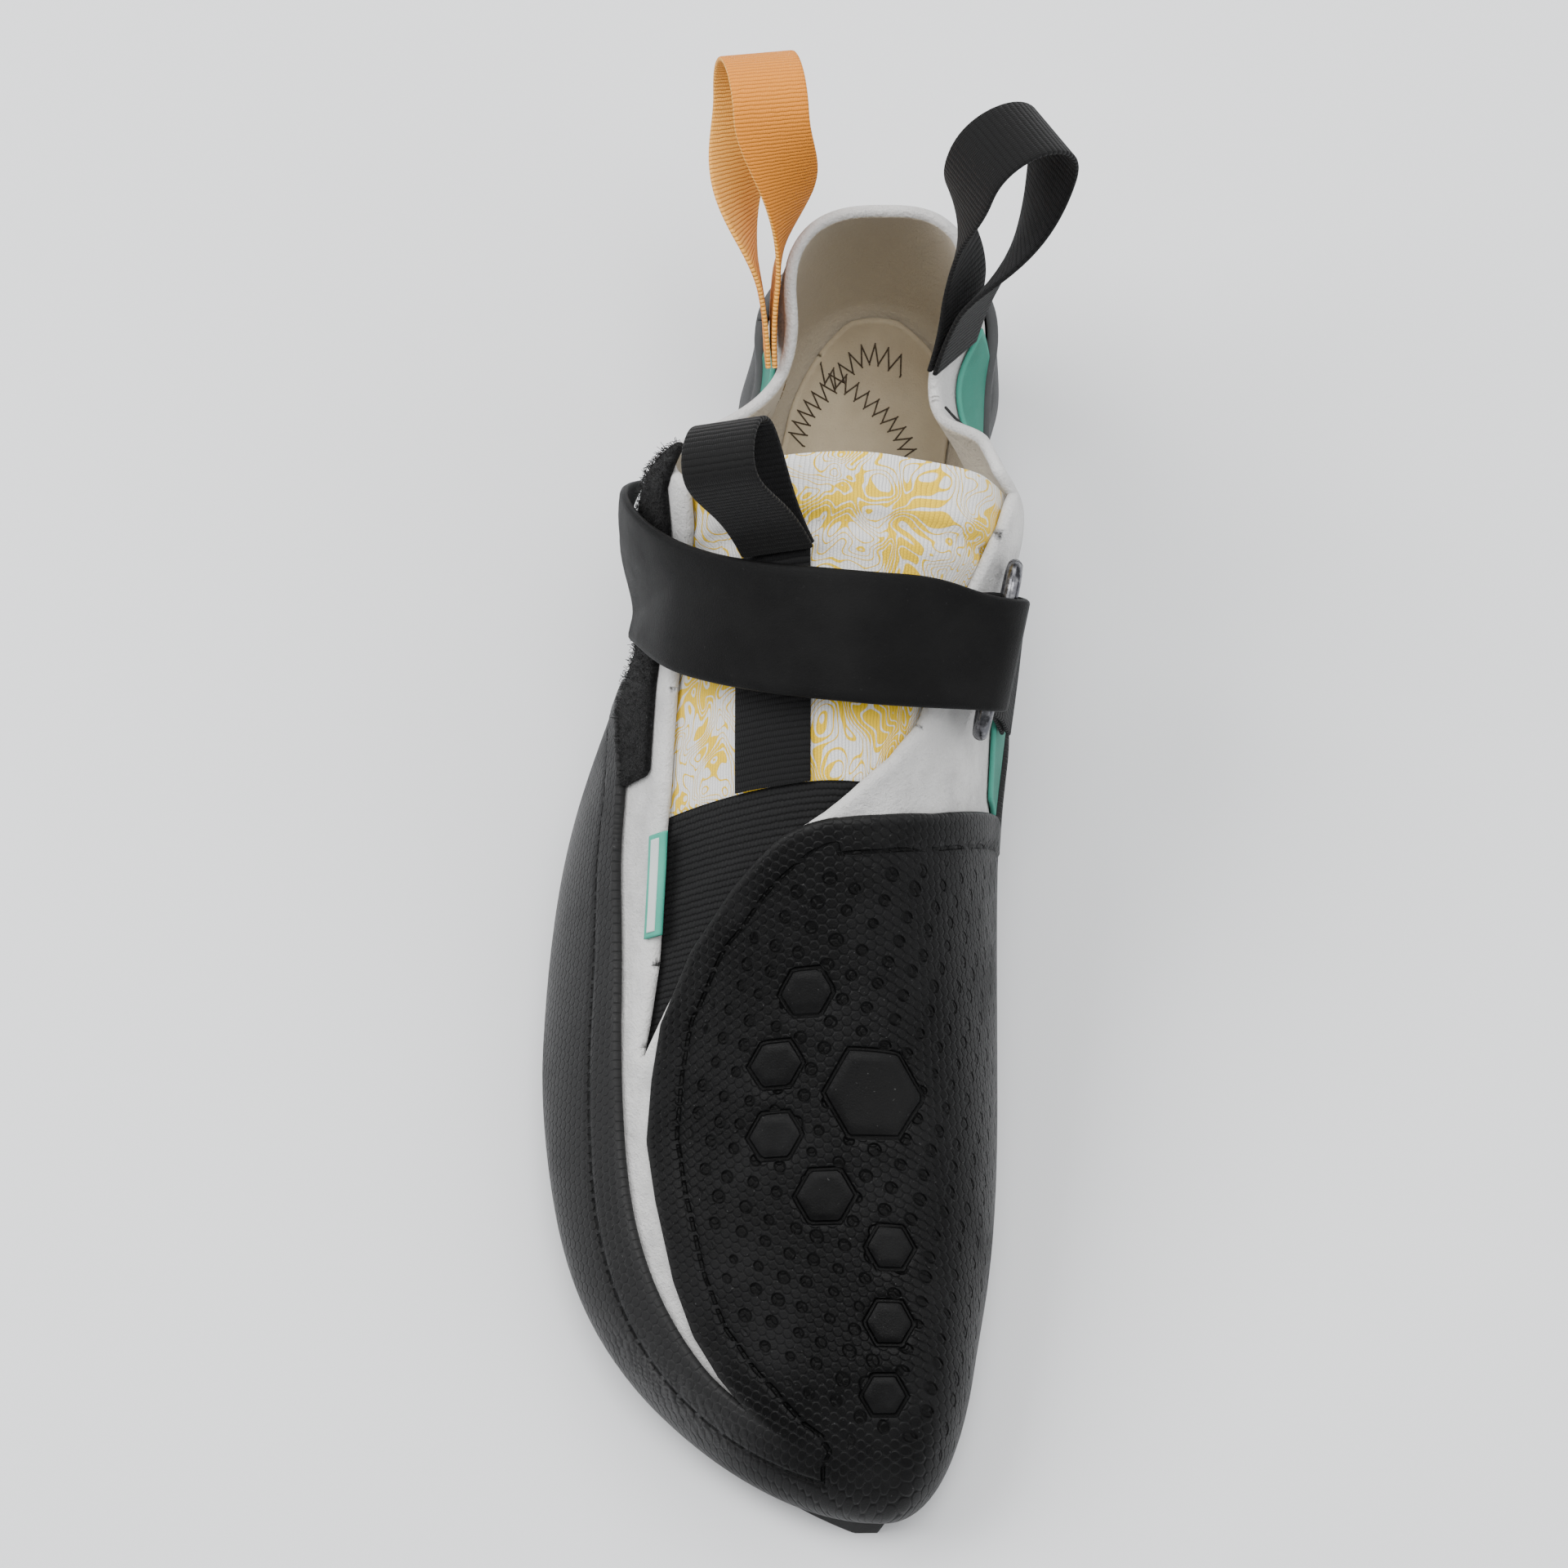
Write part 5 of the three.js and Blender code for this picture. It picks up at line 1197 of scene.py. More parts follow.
def toe_extras(data):
    shell = data["point"] + data["normal"] * (RUBBER_LIFT + RUBBER_WALL)
    steep = np.maximum(data["normal"][:, 2], 0.2)
    plate = np.full(len(shell), 60.0)
    for row in PLATE_TABLE:
        dy = (shell[:, 1] - row["y"]) / np.clip(steep, 0.85, 1)
        plate = np.minimum(plate, hexagon_distance(shell[:, 0] - row["x"], dy, row["radius"]))
    plate = np.where(data["normal"][:, 2] > 0.25, plate, 60.0)
    view = {**data, "skin": data["point"] + data["normal"] * UPPER_WALL, "shell": shell}
    view["under"] = data["normal"][:, 2] < 0
    cap, side = on_cap(view), on_rand(view)
    rim = np.maximum(cap, side)
    dots = smooth(cap, 8.0, 9.5) * (1 - smooth(data["share"], 0.95, 0.975)) * smooth(data["normal"][:, 2],
                                                                                     -0.3, 0.0)
    streak = np.abs(np.sin(data["girth"] * 2.1 + 3.0 * np.sin(data["along"] * 0.31)))
    worn = hump(shell[:, 1], -199, 22) * hump(shell[:, 2], 20, 9) * smooth(-shell[:, 0], 12, 30)
    scuff = worn * smooth(streak, 0.55, 0.95)
    # Painted light: this mask is 1 on the rand, away from the cap and the tip, where the material paints the
    # rubber lighter for the light on its side.
    apart = smooth(side - cap, -2.0, 2.0) * (1 - smooth(data["share"], 0.93, 0.97))
    return {"plate": plate, "rim": rim, "dots": dots, "scuff": scuff, "side": apart}


def toe_outside(data):
    marks = toe_extras(data)
    band_edge = 0.35 * (1 - smooth(marks["rim"], 4.6, 5.4))
    groove = -0.3 * hump(marks["rim"], 5.6, 0.9)
    plate = -0.4 * hump(marks["plate"], 0.15, 0.9) + 0.12 * (1 - smooth(marks["plate"], -1.2, -0.4))
    return RUBBER_LIFT + RUBBER_WALL + band_edge + groove + plate


dress(layer_piece("toe_cap_and_rand", fine, on_toe_rubber(fine), RUBBER_LIFT, toe_outside, 0.3, toe_extras),
      "toe_rubber", TOE_RUBBER)


# %% [markdown]
# The heel cup is a layer with upright bulges moulded in it and a thin lip. They are waves along the foot,
# added to its thickness.


# %% Heel cup with its moulded bulges
def heel_outside(data):
    height = data["point"][:, 2] / INSTEP_HEIGHT
    waves = 0.5 + 0.5 * np.cos(2 * np.pi * (data["share"] - 0.02) / 0.085)
    bulge = 1.5 * waves * hump(height, 0.34, 0.16) * hump(data["share"], 0.1, 0.14) * smooth(data["edge"],
                                                                                             1.0, 5.0)
    lip = 0.4 * (1 - smooth(data["edge"], 1.6, 2.6))
    return RUBBER_LIFT + RUBBER_WALL + bulge + lip


dress(layer_piece("heel_cup", plain, on_heel_rubber(plain), RUBBER_LIFT, heel_outside, 0.3),
      "heel_rubber", HEEL_RUBBER)


# %% [markdown]
# The soft layers under the throat lie on the last as well. The tongue and the knit each get a small swell of
# their own, such as the gathered seam near the top of the tongue; the pile and the side panels keep an even
# thickness.


# %% Tongue, knit, pile and side panels
def tongue_swell(data):
    """The gathered seam near the tongue's top, and soft waves across it."""
    seam = 13.0 - data["along"] + TONGUE_TOP_SHARE * LAST_LENGTH
    gather = 0.3 * np.sin(data["girth"] * 2.6) * hump(seam, 0, 4.0)
    return gather - 0.9 * hump(seam, 0, 1.4) + 0.8 * hump(seam, 3.2, 2.8) + 0.7 * hump(seam, -3.2, 2.8)


def knit_swell(data):
    line = (data["share"] - 0.535) * LAST_LENGTH + 0.25 * (data["girth"] + 20)
    return -0.35 * hump(line, 0, 1.4) + 0.3 * hump(line, 2.4, 2.2)


dress(layer_piece("stretch_tongue", plain, on_tongue(plain), -GAP - 1.0, lambda d: -GAP + tongue_swell(d)),
      "tongue", STRETCH)
dress(layer_piece("knit_vamp", plain, on_knit(plain), -GAP - 1.0, lambda d: -GAP + knit_swell(d)),
      "vamp_knit", KNIT)
dress(layer_piece("pile_patch", plain, on_pile(plain), RUBBER_LIFT, RUBBER_LIFT + 1.6), "strap_pile",
      PILE)
for side, medial in (("medial", True), ("lateral", False)):
    dress(layer_piece(side + "_teal_panel", plain, on_side_panel(plain, medial), RUBBER_LIFT,
                      RUBBER_LIFT + 1.0),
          side + "_panel", TEAL_LEATHER)


# %% [markdown]
# The sole flares out from the last and ends on the floor, apart from the arch. The footbed is a thin layer
# on the inside of the last.


# %% Sole and footbed
SOLE_FLARE = 2.2
SOLE_MARGIN, SOLE_TOE_MARGIN, SOLE_RISE = 1.5, 3.0, 3.2
SOLE_TOE = (0.84, 0.98)
FOOTBED_MARGIN, FOOTBED_RISE, FOOTBED_WALL = 4.0, 7.0, 1.5


def tread_place(data, low):
    out = data["normal"] * np.array([1, 1, 0]) * SOLE_FLARE
    high = low + out
    high[:, 2] = data["sole_floor"]
    return high


sole_margin = SOLE_MARGIN + SOLE_TOE_MARGIN * smooth(plain["share"], *SOLE_TOE)
sole_level = under_foot(plain, sole_margin, SOLE_RISE)
dress(layer_piece("rubber_sole", plain, sole_level, SOLE_LIFT, 0.0, 0.06, outer_place=tread_place),
      "outsole", SOLE_RUBBER)
footbed_level = under_foot(plain, FOOTBED_MARGIN, FOOTBED_RISE)
dress(layer_piece("footbed", plain, footbed_level, -GAP - FOOTBED_WALL, -GAP), "insole", LINING)

# %% [markdown]
# Strap, tapes and loops are bands. A band is a flat profile with round edges, carried along a row of places
# and lofted. The strap's places follow the last across the instep, turn round the ring's bar and come back.


# %% Bands
def band_profile(width, thickness, across=10):
    """Points (x, z) round a flat band's section."""
    r = thickness / 2
    flat = np.linspace(-width / 2 + r, width / 2 - r, across + 1)
    turn = np.linspace(np.pi / 2, -np.pi / 2, 6)[1:-1]
    right = np.stack([width / 2 - r + r * np.cos(turn), r * np.sin(turn)], 1)
    top = np.stack([flat, np.full(len(flat), r)], 1)
    return np.concatenate([top, right, -top, -right])


def spline_rows(rows, count):
    """Smooth rows of points through a few rows, evenly spaced along the way."""
    rows = np.asarray(rows, float)
    flat = rows.reshape(len(rows), -1)
    step = np.linalg.norm(np.diff(rows, axis=0), axis=2).mean(1)
    at = np.concatenate([[0], np.cumsum(step)])
    even = np.linspace(0, at[-1], count)
    out = np.stack([spline(at, flat[:, k])(even) for k in range(flat.shape[1])], 1)
    return out.reshape(count, *rows.shape[1:]), even


def loft(name, rings, run, across, faces_out, closed=False):
    """A closed piece through rings of points. run and across are the sheet's millimetres for the UV map."""
    rows, around = rings.shape[:2]
    ids = np.arange(rows * around).reshape(rows, around)
    a, b = (ids, np.roll(ids, -1, 0)) if closed else (ids[:-1], ids[1:])
    quads = np.stack([a, b, np.roll(b, -1, 1), np.roll(a, -1, 1)], -1).reshape(-1, 4)
    points = rings.reshape(-1, 3)
    faces = [q for q in quads]
    if not closed:
        faces += [ids[0], ids[-1][::-1]]
    triangles = np.concatenate([quads[:, [0, 1, 2]], quads[:, [0, 2, 3]]])
    middle = points.mean(0)
    p = points[triangles] - middle
    volume = np.einsum("ij,ij->i", p[:, 0], np.cross(p[:, 1], p[:, 2])).sum()
    if volume < 0:
        faces = [f[::-1] for f in faces]
    uv = np.stack([np.repeat(run, around), np.tile(across, rows)], 1)
    floats = {"face": np.tile(faces_out, rows), "edge": np.full(len(points), 5.0)}
    return make_mesh(name, points, faces, floats, uv)


def rounded_ends(rings, middles, thickness):
    """Adds rings that round off both ends."""
    def cap(edge, middle, run):
        steps = (0.35, 0.7, 0.92)
        return [middle + (edge - middle) * math.sqrt(1 - s * s) + run * thickness / 2 * s for s in steps]

    first = unit((middles[0] - middles[1]).mean(0))
    last = unit((middles[-1] - middles[-2]).mean(0))
    start = cap(rings[0], middles[0], first)[::-1]
    return np.concatenate([start, rings, cap(rings[-1], middles[-1], last)])


# %% [markdown]
# The strap is a black rubber band. It is sewn at the throat, runs over the tongue to the ring, folds round
# its bar and lies back over itself, and its end grips the pile on the lateral quarter.

# %% The strap's and ring's sizes
STRAP_EDGES = {
    "turn": (-0.21, -0.17, -0.12, -0.06, 0.0, 0.06, 0.12, 0.2),
    "back": (0.235, 0.255, 0.289, 0.332, 0.349, 0.349, 0.339, 0.318),
    "front": (0.36, 0.378, 0.402, 0.424, 0.438, 0.438, 0.426, 0.404),
}
STRAP_THICKNESS = 1.9
STRAP_WIDTH = 26.0
STRAP_END = -0.205
STRAP_ROOT = -0.1
STRAP_ROOT_WIDTH = 0.88  # of the full width
STRAP_DROP = 0.09
STRAP_RISE = 0.07
RING_TURN = 0.125
TAB_END = 0.235
RING_ROD = 3.0
RING_SPAN = 33.0
RING_DEPTH = 11.0
RING_CORNER = 4.5
TAB_WIDTH = 18.0
TAPE_WIDTH = 15.0
TAG_WIDTH = 3.4
WEBBING = 1.0
STRAP_LOWER = RUBBER_LIFT + 1.6 + 1.95 + STRAP_THICKNESS / 2
FOLD_RADIUS = RING_ROD / 2 + 2 * GAP + STRAP_THICKNESS / 2
strap_edge = splines(STRAP_EDGES, "turn")
ring_share = float(strap_edge["back"](RING_TURN) + strap_edge["front"](RING_TURN)) / 2


def strap_row(turn, x, lift):
    part = 0.5 + np.asarray(x) / STRAP_WIDTH
    back, front = strap_edge["back"](turn), strap_edge["front"](turn)
    return on_last(back + (front - back) * part, np.full(len(part), turn), lift)


def bar_frame():
    back, front = strap_row(RING_TURN, [-STRAP_WIDTH / 2, STRAP_WIDTH / 2],
                            np.full(2, STRAP_LOWER + FOLD_RADIUS))
    along = unit(front - back)
    normal = last_normals([ring_share], [RING_TURN])[0]
    normal = unit(normal - along * (normal @ along))
    down = unit(np.cross(along, normal))
    return back, front, along, normal, down if down[2] < 0 else -down


def strap_rows(x, z):
    """The strap's section at a row of places, from its sewn root round the bar to its free end."""
    rows = []
    back, front, _, normal, down = bar_frame()
    for part in np.arange(8) / 8:
        turn = STRAP_ROOT + (RING_TURN - STRAP_ROOT) * part
        rows.append(strap_row(turn, x * STRAP_ROOT_WIDTH, STRAP_LOWER - z))
    for k in range(7):
        angle = -math.pi / 2 + math.pi * k / 6
        out = normal * math.sin(angle) + down * math.cos(angle)
        centre = back + (front - back) * (0.5 + x / STRAP_WIDTH)[:, None]
        rows.append(centre + out * (FOLD_RADIUS + z)[:, None])
    upper = STRAP_LOWER + STRAP_THICKNESS + GAP
    for k in range(1, 15):
        turn = RING_TURN + (STRAP_END - RING_TURN) * k / 14
        drop = smooth(-turn, -STRAP_ROOT, -STRAP_ROOT + STRAP_DROP)
        rise = smooth(turn, RING_TURN - STRAP_RISE, RING_TURN)
        lift = upper + (STRAP_LOWER - upper) * drop
        lift = lift + (STRAP_LOWER + 2 * FOLD_RADIUS - lift) * rise
        rows.append(strap_row(turn, x, lift + z))
    return rows


def make_strap():
    profile = band_profile(STRAP_WIDTH, STRAP_THICKNESS, 16)
    x, z = profile[:, 0], profile[:, 1]
    rings, run = spline_rows(strap_rows(x, z), 150)
    inner_x = np.clip(x, -STRAP_WIDTH / 2 + STRAP_THICKNESS / 2, STRAP_WIDTH / 2 - STRAP_THICKNESS / 2)
    middles, run = spline_rows(strap_rows(inner_x, z * 0), 150)
    rings = rounded_ends(rings, middles, STRAP_THICKNESS)
    run = np.concatenate([[run[0]] * 3, run, [run[-1]] * 3])
    return loft("strap_band", rings, run, x, (z > -0.3).astype(float))


dress(make_strap(), "strap", STRAP_RUBBER)


# %% [markdown]
# The ring is a round rod bent to a rectangle with round corners. It lies between the strap fold and the
# fold of its tab, so both decide its place.


# %% Ring and tab
TAB_LOWER = RUBBER_LIFT + 1.0 + GAP + WEBBING / 2
TAB_FOLD = RING_ROD / 2 + GAP + WEBBING / 2


def lower_bar_turn():
    upper = on_last([ring_share], [RING_TURN], [STRAP_LOWER + FOLD_RADIUS])[0]
    turns = RING_TURN + 0.0005 * np.arange(400)
    places = on_last(np.full(400, ring_share), turns, np.full(400, TAB_LOWER + TAB_FOLD))
    far = np.linalg.norm(places - upper, axis=1) >= RING_DEPTH - RING_ROD
    return turns[np.argmax(far)]


tab_turn = lower_bar_turn()


def ring_frame():
    back, front, along, _, _ = bar_frame()
    centre = (back + front) / 2
    down = on_last([ring_share], [tab_turn], [TAB_LOWER + TAB_FOLD])[0] - centre
    return centre, along, unit(down - along * (down @ along))


def make_ring():
    centre, along, down = ring_frame()
    w = RING_SPAN / 2 - RING_CORNER
    h = RING_DEPTH - RING_ROD - RING_CORNER
    arcs = ((w, RING_CORNER, -90), (w, h, 0), (-w, h, 90), (-w, RING_CORNER, 180))
    path = []
    for a, d, start in arcs:
        for angle in np.radians(start + np.linspace(0, 90, 9)):
            right, low = a + RING_CORNER * math.cos(angle), d + RING_CORNER * math.sin(angle)
            path.append(centre + along * right + down * low)
    path = np.array(path)
    tangent = unit(np.roll(path, -1, 0) - np.roll(path, 1, 0))
    plane = unit(np.cross(along, down))
    side = unit(np.cross(tangent, plane))
    angle = np.linspace(0, 2 * np.pi, 16, endpoint=False)
    rings = path[:, None] + side[:, None] * np.cos(angle)[None, :, None] * RING_ROD / 2
    rings = rings + plane[None, None] * np.sin(angle)[None, :, None] * RING_ROD / 2
    return loft("strap_ring", rings, np.arange(len(path)) * 1.0, angle, np.ones(16), closed=True)


def tab_rows(x, z):
    centre, along, down = ring_frame()
    bar = centre + down * (RING_DEPTH - RING_ROD)
    normal = unit(np.cross(down, along))
    normal = normal if normal[0] > 0 else -normal
    share = ring_share + x / LAST_LENGTH
    rows = []
    for k in range(4):
        turn = TAB_END + (tab_turn + 0.018 - TAB_END) * k / 3
        rows.append(on_last(share, np.full(len(x), turn), TAB_LOWER - z))
    for k in range(7):
        angle = -math.pi / 2 + math.pi * k / 6
        out = normal * math.sin(angle) - down * math.cos(angle)
        rows.append(bar + along * x[:, None] + out * (TAB_FOLD + z)[:, None])
    for k in range(4):
        turn = tab_turn + 0.02 + (TAB_END - tab_turn - 0.02) * k / 3
        rows.append(on_last(share, np.full(len(x), turn), TAB_LOWER + WEBBING + GAP + z))
    return rows


def make_tab():
    x, z = band_profile(TAB_WIDTH, WEBBING).T
    rings, run = spline_rows(tab_rows(x, z), 70)
    return loft("ring_tab_tape", rings, run, x, (z > -0.2).astype(float))


dress(make_ring(), "ring", GUNMETAL)
dress(make_tab(), "ring_tab", BLACK_TAPE)


# %% [markdown]
# The tape and the tag lie flat on the layers below. Their places are found on the last by their distance
# from its middle line.


# %% Centre tape and side tag
TAPE_START = 0.335
TAPE_CENTRE = -19.0
TAPE_LIFT = 0.1
TAG_BACK, TAG_FRONT = 0.508, 0.582
TAG_LAP = 1.0
FIELD_INSET = 0.9


def lateral_turn(share, x):
    """The turn on the lateral half where the upper's outer face has this x."""
    low, high = np.full(len(x), -0.3), np.zeros(len(x))
    for _ in range(26):
        middle = (low + high) / 2
        less = on_last(share, middle, np.full(len(x), UPPER_WALL))[:, 0] < x
        low, high = np.where(less, middle, low), np.where(less, high, middle)
    return (low + high) / 2


def make_centre_tape():
    x, z = band_profile(TAPE_WIDTH, WEBBING).T
    rows = []
    for share in np.linspace(TAPE_START, KNIT_SHARE - 0.001, 14):
        shares = np.full(len(x), share)
        rows.append(on_last(shares, lateral_turn(shares, x + TAPE_CENTRE), TAPE_LIFT + WEBBING / 2 + z))
    rings, run = spline_rows(rows, 60)
    return loft("centre_webbing", rings, run, x, (z > -0.2).astype(float))


def make_tag(name, inset, low, high):
    """The tag's frame and the bare pale field in it: a strip over the throat's lateral edge."""
    width, middle = TAG_WIDTH - 2 * inset, (low + high) / 2
    x, z = band_profile(width, high - low).T
    rows = []
    for share in np.linspace(TAG_BACK + inset / LAST_LENGTH, TAG_FRONT - inset / LAST_LENGTH, 9):
        shares = np.full(len(x), share)
        edge = throat["lateral"](share) * BALL_WIDTH - TAG_LAP + TAG_WIDTH / 2
        rows.append(on_last(shares, lateral_turn(shares, edge + x), middle + z))
    rings, run = spline_rows(rows, 50)
    return loft(name, rings, run, x, np.ones(len(x)))


dress(make_centre_tape(), "centre_tape", BLACK_TAPE)
dress(make_tag("side_tag_rubber", 0.0, RUBBER_LIFT, RUBBER_LIFT + 1.6), "side_tag",
      TEAL_RUBBER)
dress(make_tag("side_tag_field", FIELD_INSET, RUBBER_LIFT + 1.2, RUBBER_LIFT + 1.9), None,
      PALE_RUBBER)


# %% [markdown]
# A pull loop is one tape whose two ends are sewn down together. It could be simulated as cloth, but a drop
# shape with a twist is exact and quick.


# %% Pull loops
HEEL_LOOP_LENGTH, HEEL_LOOP_OPENING = 61.0, 19.0
FRONT_LOOP_LENGTH, FRONT_LOOP_OPENING = 30.0, 13.0
FRONT_LOOP_ROOT = ([0.335], [-0.04], [2.4])
FRONT_LOOP_RISE = (-0.36, 0.42, 0.83)
FRONT_LOOP_WIDE = (0.95, -0.2, 0)
TWIST_FROM, TWIST_TO = 0.25, 0.85


def loop_rings(root, rise, across, length, opening, width, twist, steps, profile_scale=1.0):
    """Rings of a band that rises from a sewn root, turns over and goes back, open like a drop."""
    profile = band_profile(width, WEBBING) * profile_scale
    side = unit(np.cross(across, rise))

    def place(k):
        angle = 2 * math.pi * k / steps
        up = (1 - math.cos(angle)) / 2
        turn = twist * float(smooth(up, TWIST_FROM, TWIST_TO))
        wide = across * math.cos(turn) + side * math.sin(turn)
        apart = side * math.cos(turn) - across * math.sin(turn)
        legs = (WEBBING + GAP) / 2 * (1 if angle < math.pi else -1)
        spread = math.sin(angle) * up * up * opening * 0.965 + legs * (1 - float(hump(angle, math.pi, 0.9)))
        return root + rise * length * up + apart * spread, wide

    rings = []
    for k in range(steps + 1):
        p, wide = place(k)
        run = unit(place(min(k + 0.5, steps))[0] - place(max(k - 0.5, 0))[0])
        out = unit(np.cross(run, wide))
        rings.append(p + wide * profile[:, :1] + out * profile[:, 1:])
    return np.array(rings), profile


def make_loop(name, **shape):
    rings, profile = loop_rings(**shape)
    step = np.linalg.norm(np.diff(rings.mean(1), axis=0), axis=1)
    run = np.concatenate([[0], np.cumsum(step)])
    return loft(name, rings, run, profile[:, 0], (profile[:, 1] > -0.2).astype(float))


def heel_loop(name, share, turn, rise, leaning, twist, stand_off):
    normal = last_normals([share], [turn])[0]
    rise = np.array(rise, float)
    flat = unit(rise + normal * (leaning - rise @ normal))
    root = on_last([share], [turn], [UPPER_WALL + stand_off + GAP / 2 + WEBBING])[0]
    return make_loop(name, root=root, rise=flat, across=unit(np.cross(flat, normal)), length=HEEL_LOOP_LENGTH,
                     opening=HEEL_LOOP_OPENING, width=TAPE_WIDTH, twist=twist, steps=110)


def front_loop(name):
    rise = unit(np.array(FRONT_LOOP_RISE))
    wide = np.array(FRONT_LOOP_WIDE)
    wide = unit(wide - rise * (wide @ rise))
    root = on_last(*FRONT_LOOP_ROOT)[0]
    return make_loop(name, root=root, rise=rise, across=wide, length=FRONT_LOOP_LENGTH,
                     opening=FRONT_LOOP_OPENING, width=TAPE_WIDTH, twist=0.0, steps=80)


dress(heel_loop("orange_heel_loop", 0.125, -0.175, (0.05, 0.765, 0.64), 0.245, 1.4, 1.1),
      "heel_loop_lateral", ORANGE_TAPE)
dress(heel_loop("black_heel_loop", 0.12, 0.15, (0.05, 0.48, 0.86), 0.1, -1.2, 0.3),
      "heel_loop_medial", BLACK_TAPE)
dress(front_loop("front_pull_loop"), "front_loop", BLACK_TAPE)

# %% [markdown]
# Stitches are real threads: short round bars with rounded ends, many of them joined in one mesh. Two zigzag
# rows
# cross on the footbed, two straight rows run along the lining, and a short dark row marks the collar.


# %% Threads
SEAM_STEP, SEAM_WIDTH = 1.25, 3.0
SEAM_THREAD = 0.17
KNOT_REACH = 0.35
THREAD_LIFT = 0.08
KNOT_LIFT = 0.05


def bars(name, starts, ends, radius, sides=6):
    """Round bars from starts to ends as one mesh."""
    starts, ends = np.asarray(starts, float), np.asarray(ends, float)
    run = unit(ends - starts)
    helper = np.where(np.abs(run[:, 2:3]) < 0.8, [[0.0, 0.0, 1.0]], [[1.0, 0.0, 0.0]])
    side = unit(np.cross(run, helper))
    other = np.cross(run, side)
    angle = np.arange(sides) * 2 * np.pi / sides
    around = side[:, None] * np.cos(angle)[None, :, None] + other[:, None] * np.sin(angle)[None, :, None]
    places = ((starts - run * radius * 0.6, 0.55), (starts, 1.0), (ends, 1.0),
              (ends + run * radius * 0.6, 0.55))
    rings = np.stack([p[:, None] + around * radius * share for p, share in places], 1)
    count = len(starts)
    ids = np.arange(count * 4 * sides).reshape(count, 4, sides)
    a, b = ids[:, :-1], ids[:, 1:]
    quads = np.stack([a, np.roll(a, -1, 2), np.roll(b, -1, 2), b], -1).reshape(-1, 4)
    tips = np.concatenate([ids[:, 0, ::-1], ids[:, 3]])
    return make_mesh(name, rings.reshape(-1, 3), [q for q in quads] + [t for t in tips])


def walk(points, step):
    """Places evenly spaced along a chain of points, and the direction there."""
    points = np.asarray(points, float)
    at = np.concatenate([[0], np.cumsum(np.linalg.norm(np.diff(points, axis=0), axis=1))])
    curve = [spline(at, points[:, k]) for k in range(points.shape[1])]
    places = np.arange(step / 2, at[-1], step)
    here = np.stack([c(places) for c in curve], 1)
    ahead = np.stack([c(places + 0.1) for c in curve], 1) - np.stack([c(places - 0.1) for c in curve], 1)
    return here, unit(ahead)


def inner_faces():
    """The footbed's and the upper's faces, to drop the seam's threads on."""
    meshes = [bpy.data.objects[name].data for name in ("footbed", "suede_upper")]
    return [BVHTree.FromPolygons([v.co for v in m.vertices],
                                 [p.vertices for p in m.polygons]) for m in meshes]


def drop_inside(trees, x, y, start=40.0):
    """The first point of the trees below (x, y, start), in mm."""
    places = []
    for px, py in zip(x, y):
        hits = [tree.ray_cast((px / 1000, py / 1000, start / 1000), (0, 0, -1))[0] for tree in trees]
        places.append(max((hit[2] * 1000 for hit in hits if hit is not None), default=0.0))
    return np.stack([x, y, places], 1)


def footbed_seam(name, chain):
    """A zigzag of threads about 3 mm wide along a chain of (x, y), with a knot at each turn."""
    here, run = walk(chain, SEAM_STEP)
    across = np.stack([-run[:, 1], run[:, 0]], 1)
    width = np.where(np.arange(len(here)) % 2 == 0, SEAM_WIDTH / 2, -SEAM_WIDTH / 2)[:, None]
    flat = here + across * width
    points = drop_inside(INNER_FACES, flat[:, 0], flat[:, 1]) + np.array([0, 0, THREAD_LIFT])
    knots = points + np.array([0, 0, KNOT_LIFT])
    knot_run = np.concatenate([across * KNOT_REACH, np.zeros((len(across), 1))], 1)
    starts = np.concatenate([points[:-1], knots - knot_run])
    ends = np.concatenate([points[1:], knots + knot_run])
    return bars(name, starts, ends, SEAM_THREAD)


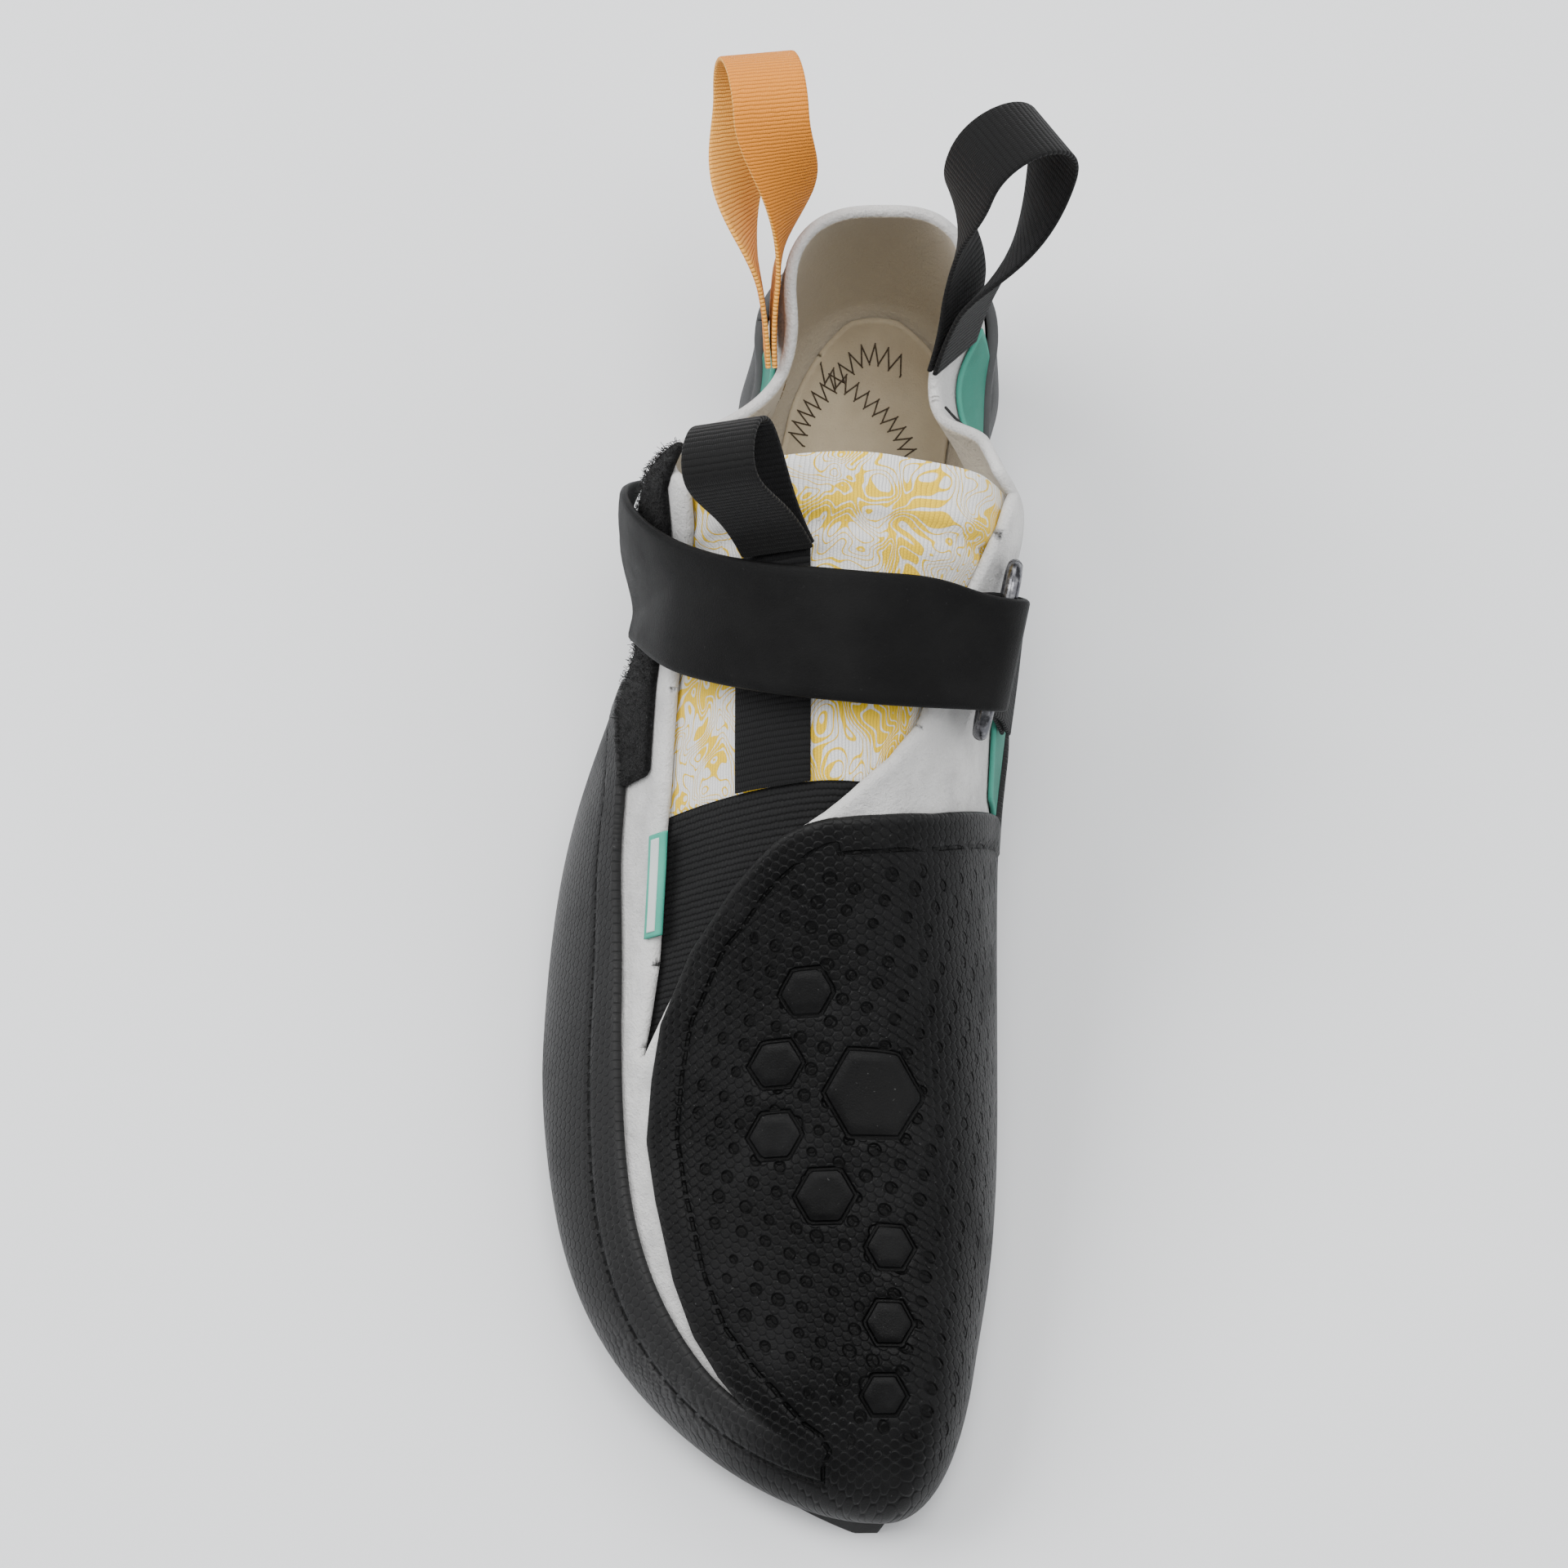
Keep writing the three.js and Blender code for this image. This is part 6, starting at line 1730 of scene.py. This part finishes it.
INNER_FACES = inner_faces()
SEAM_A = ((9.0, 19.0), (0.5, 21.5), (-6.0, 16.5), (-12.0, 9.0), (-14.0, 2.0))
SEAM_B = ((9.8, -4.7), (8.7, 3.7), (4.8, 9.9), (0.5, 13.6), (-4.5, 16.7), (-9.0, 17.6))
for seam_name, chain in (("footbed_seam_a", SEAM_A), ("footbed_seam_b", SEAM_B)):
    dress(footbed_seam(seam_name, chain), None, TAUPE_THREAD)


def layer_stitches(name, share, turn, lift, step, length, radius, material):
    """A straight row of stitches on a layer, through a few (share, turn) places."""
    places = on_last(np.asarray(share), np.asarray(turn), np.full(len(share), lift))
    here, run = walk(places, step)
    half = run * length / 2
    dress(bars(name, here - half, here + half, radius), None, material)


layer_stitches("lining_seam", (0.1, 0.13, 0.17, 0.21), (-0.2, -0.215, -0.225, -0.235), -0.05, 1.9, 1.3, 0.2,
               TAN_THREAD)
layer_stitches("lining_seam_2", (0.09, 0.12, 0.16, 0.2), (-0.19, -0.2, -0.212, -0.222), -0.05, 1.9, 1.3,
               0.2,
               TAN_THREAD)
layer_stitches("collar_mark", (0.185, 0.195, 0.207), (0.15, 0.158, 0.16), UPPER_WALL + 0.35, 1.6, 1.4, 0.3,
               BLACK_THREAD)


# %% [markdown]
# Pile catches light in single hairs. Each hair is two thin bars at a random place, and one mesh holds them
# all.


# %% Hairs of the pile
HAIR_COUNT, HAIR_LENGTH, HAIR_SPREAD = 4900, 0.9, 0.8


def make_hairs(name, data, count, length, lean_out, material, radius=0.06):
    """Short curved hairs on a layer, each a thin bar of two parts, at random places with a fixed seed."""
    random = np.random.default_rng(7)
    chosen = random.integers(0, len(data["share"]), count)
    root = data["point"][chosen] + data["normal"][chosen] * (RUBBER_LIFT + 1.5)
    root = root + random.normal(0, 0.35, (count, 3))
    up = unit(data["normal"][chosen] + random.normal(0, lean_out, (count, 3)))
    knee = root + up * length * random.uniform(0.4, 0.7, (count, 1))
    tip = knee + unit(up + random.normal(0, 0.7, (count, 3))) * length * 0.5
    starts, ends = np.concatenate([root, knee]), np.concatenate([knee, tip])
    dress(bars(name, starts, ends, radius, 3), None, material)


pile_data = cut(plain, on_pile(plain) - 0.2)[0]
make_hairs("pile_hairs", pile_data, HAIR_COUNT, HAIR_LENGTH, HAIR_SPREAD, BLACK_THREAD)
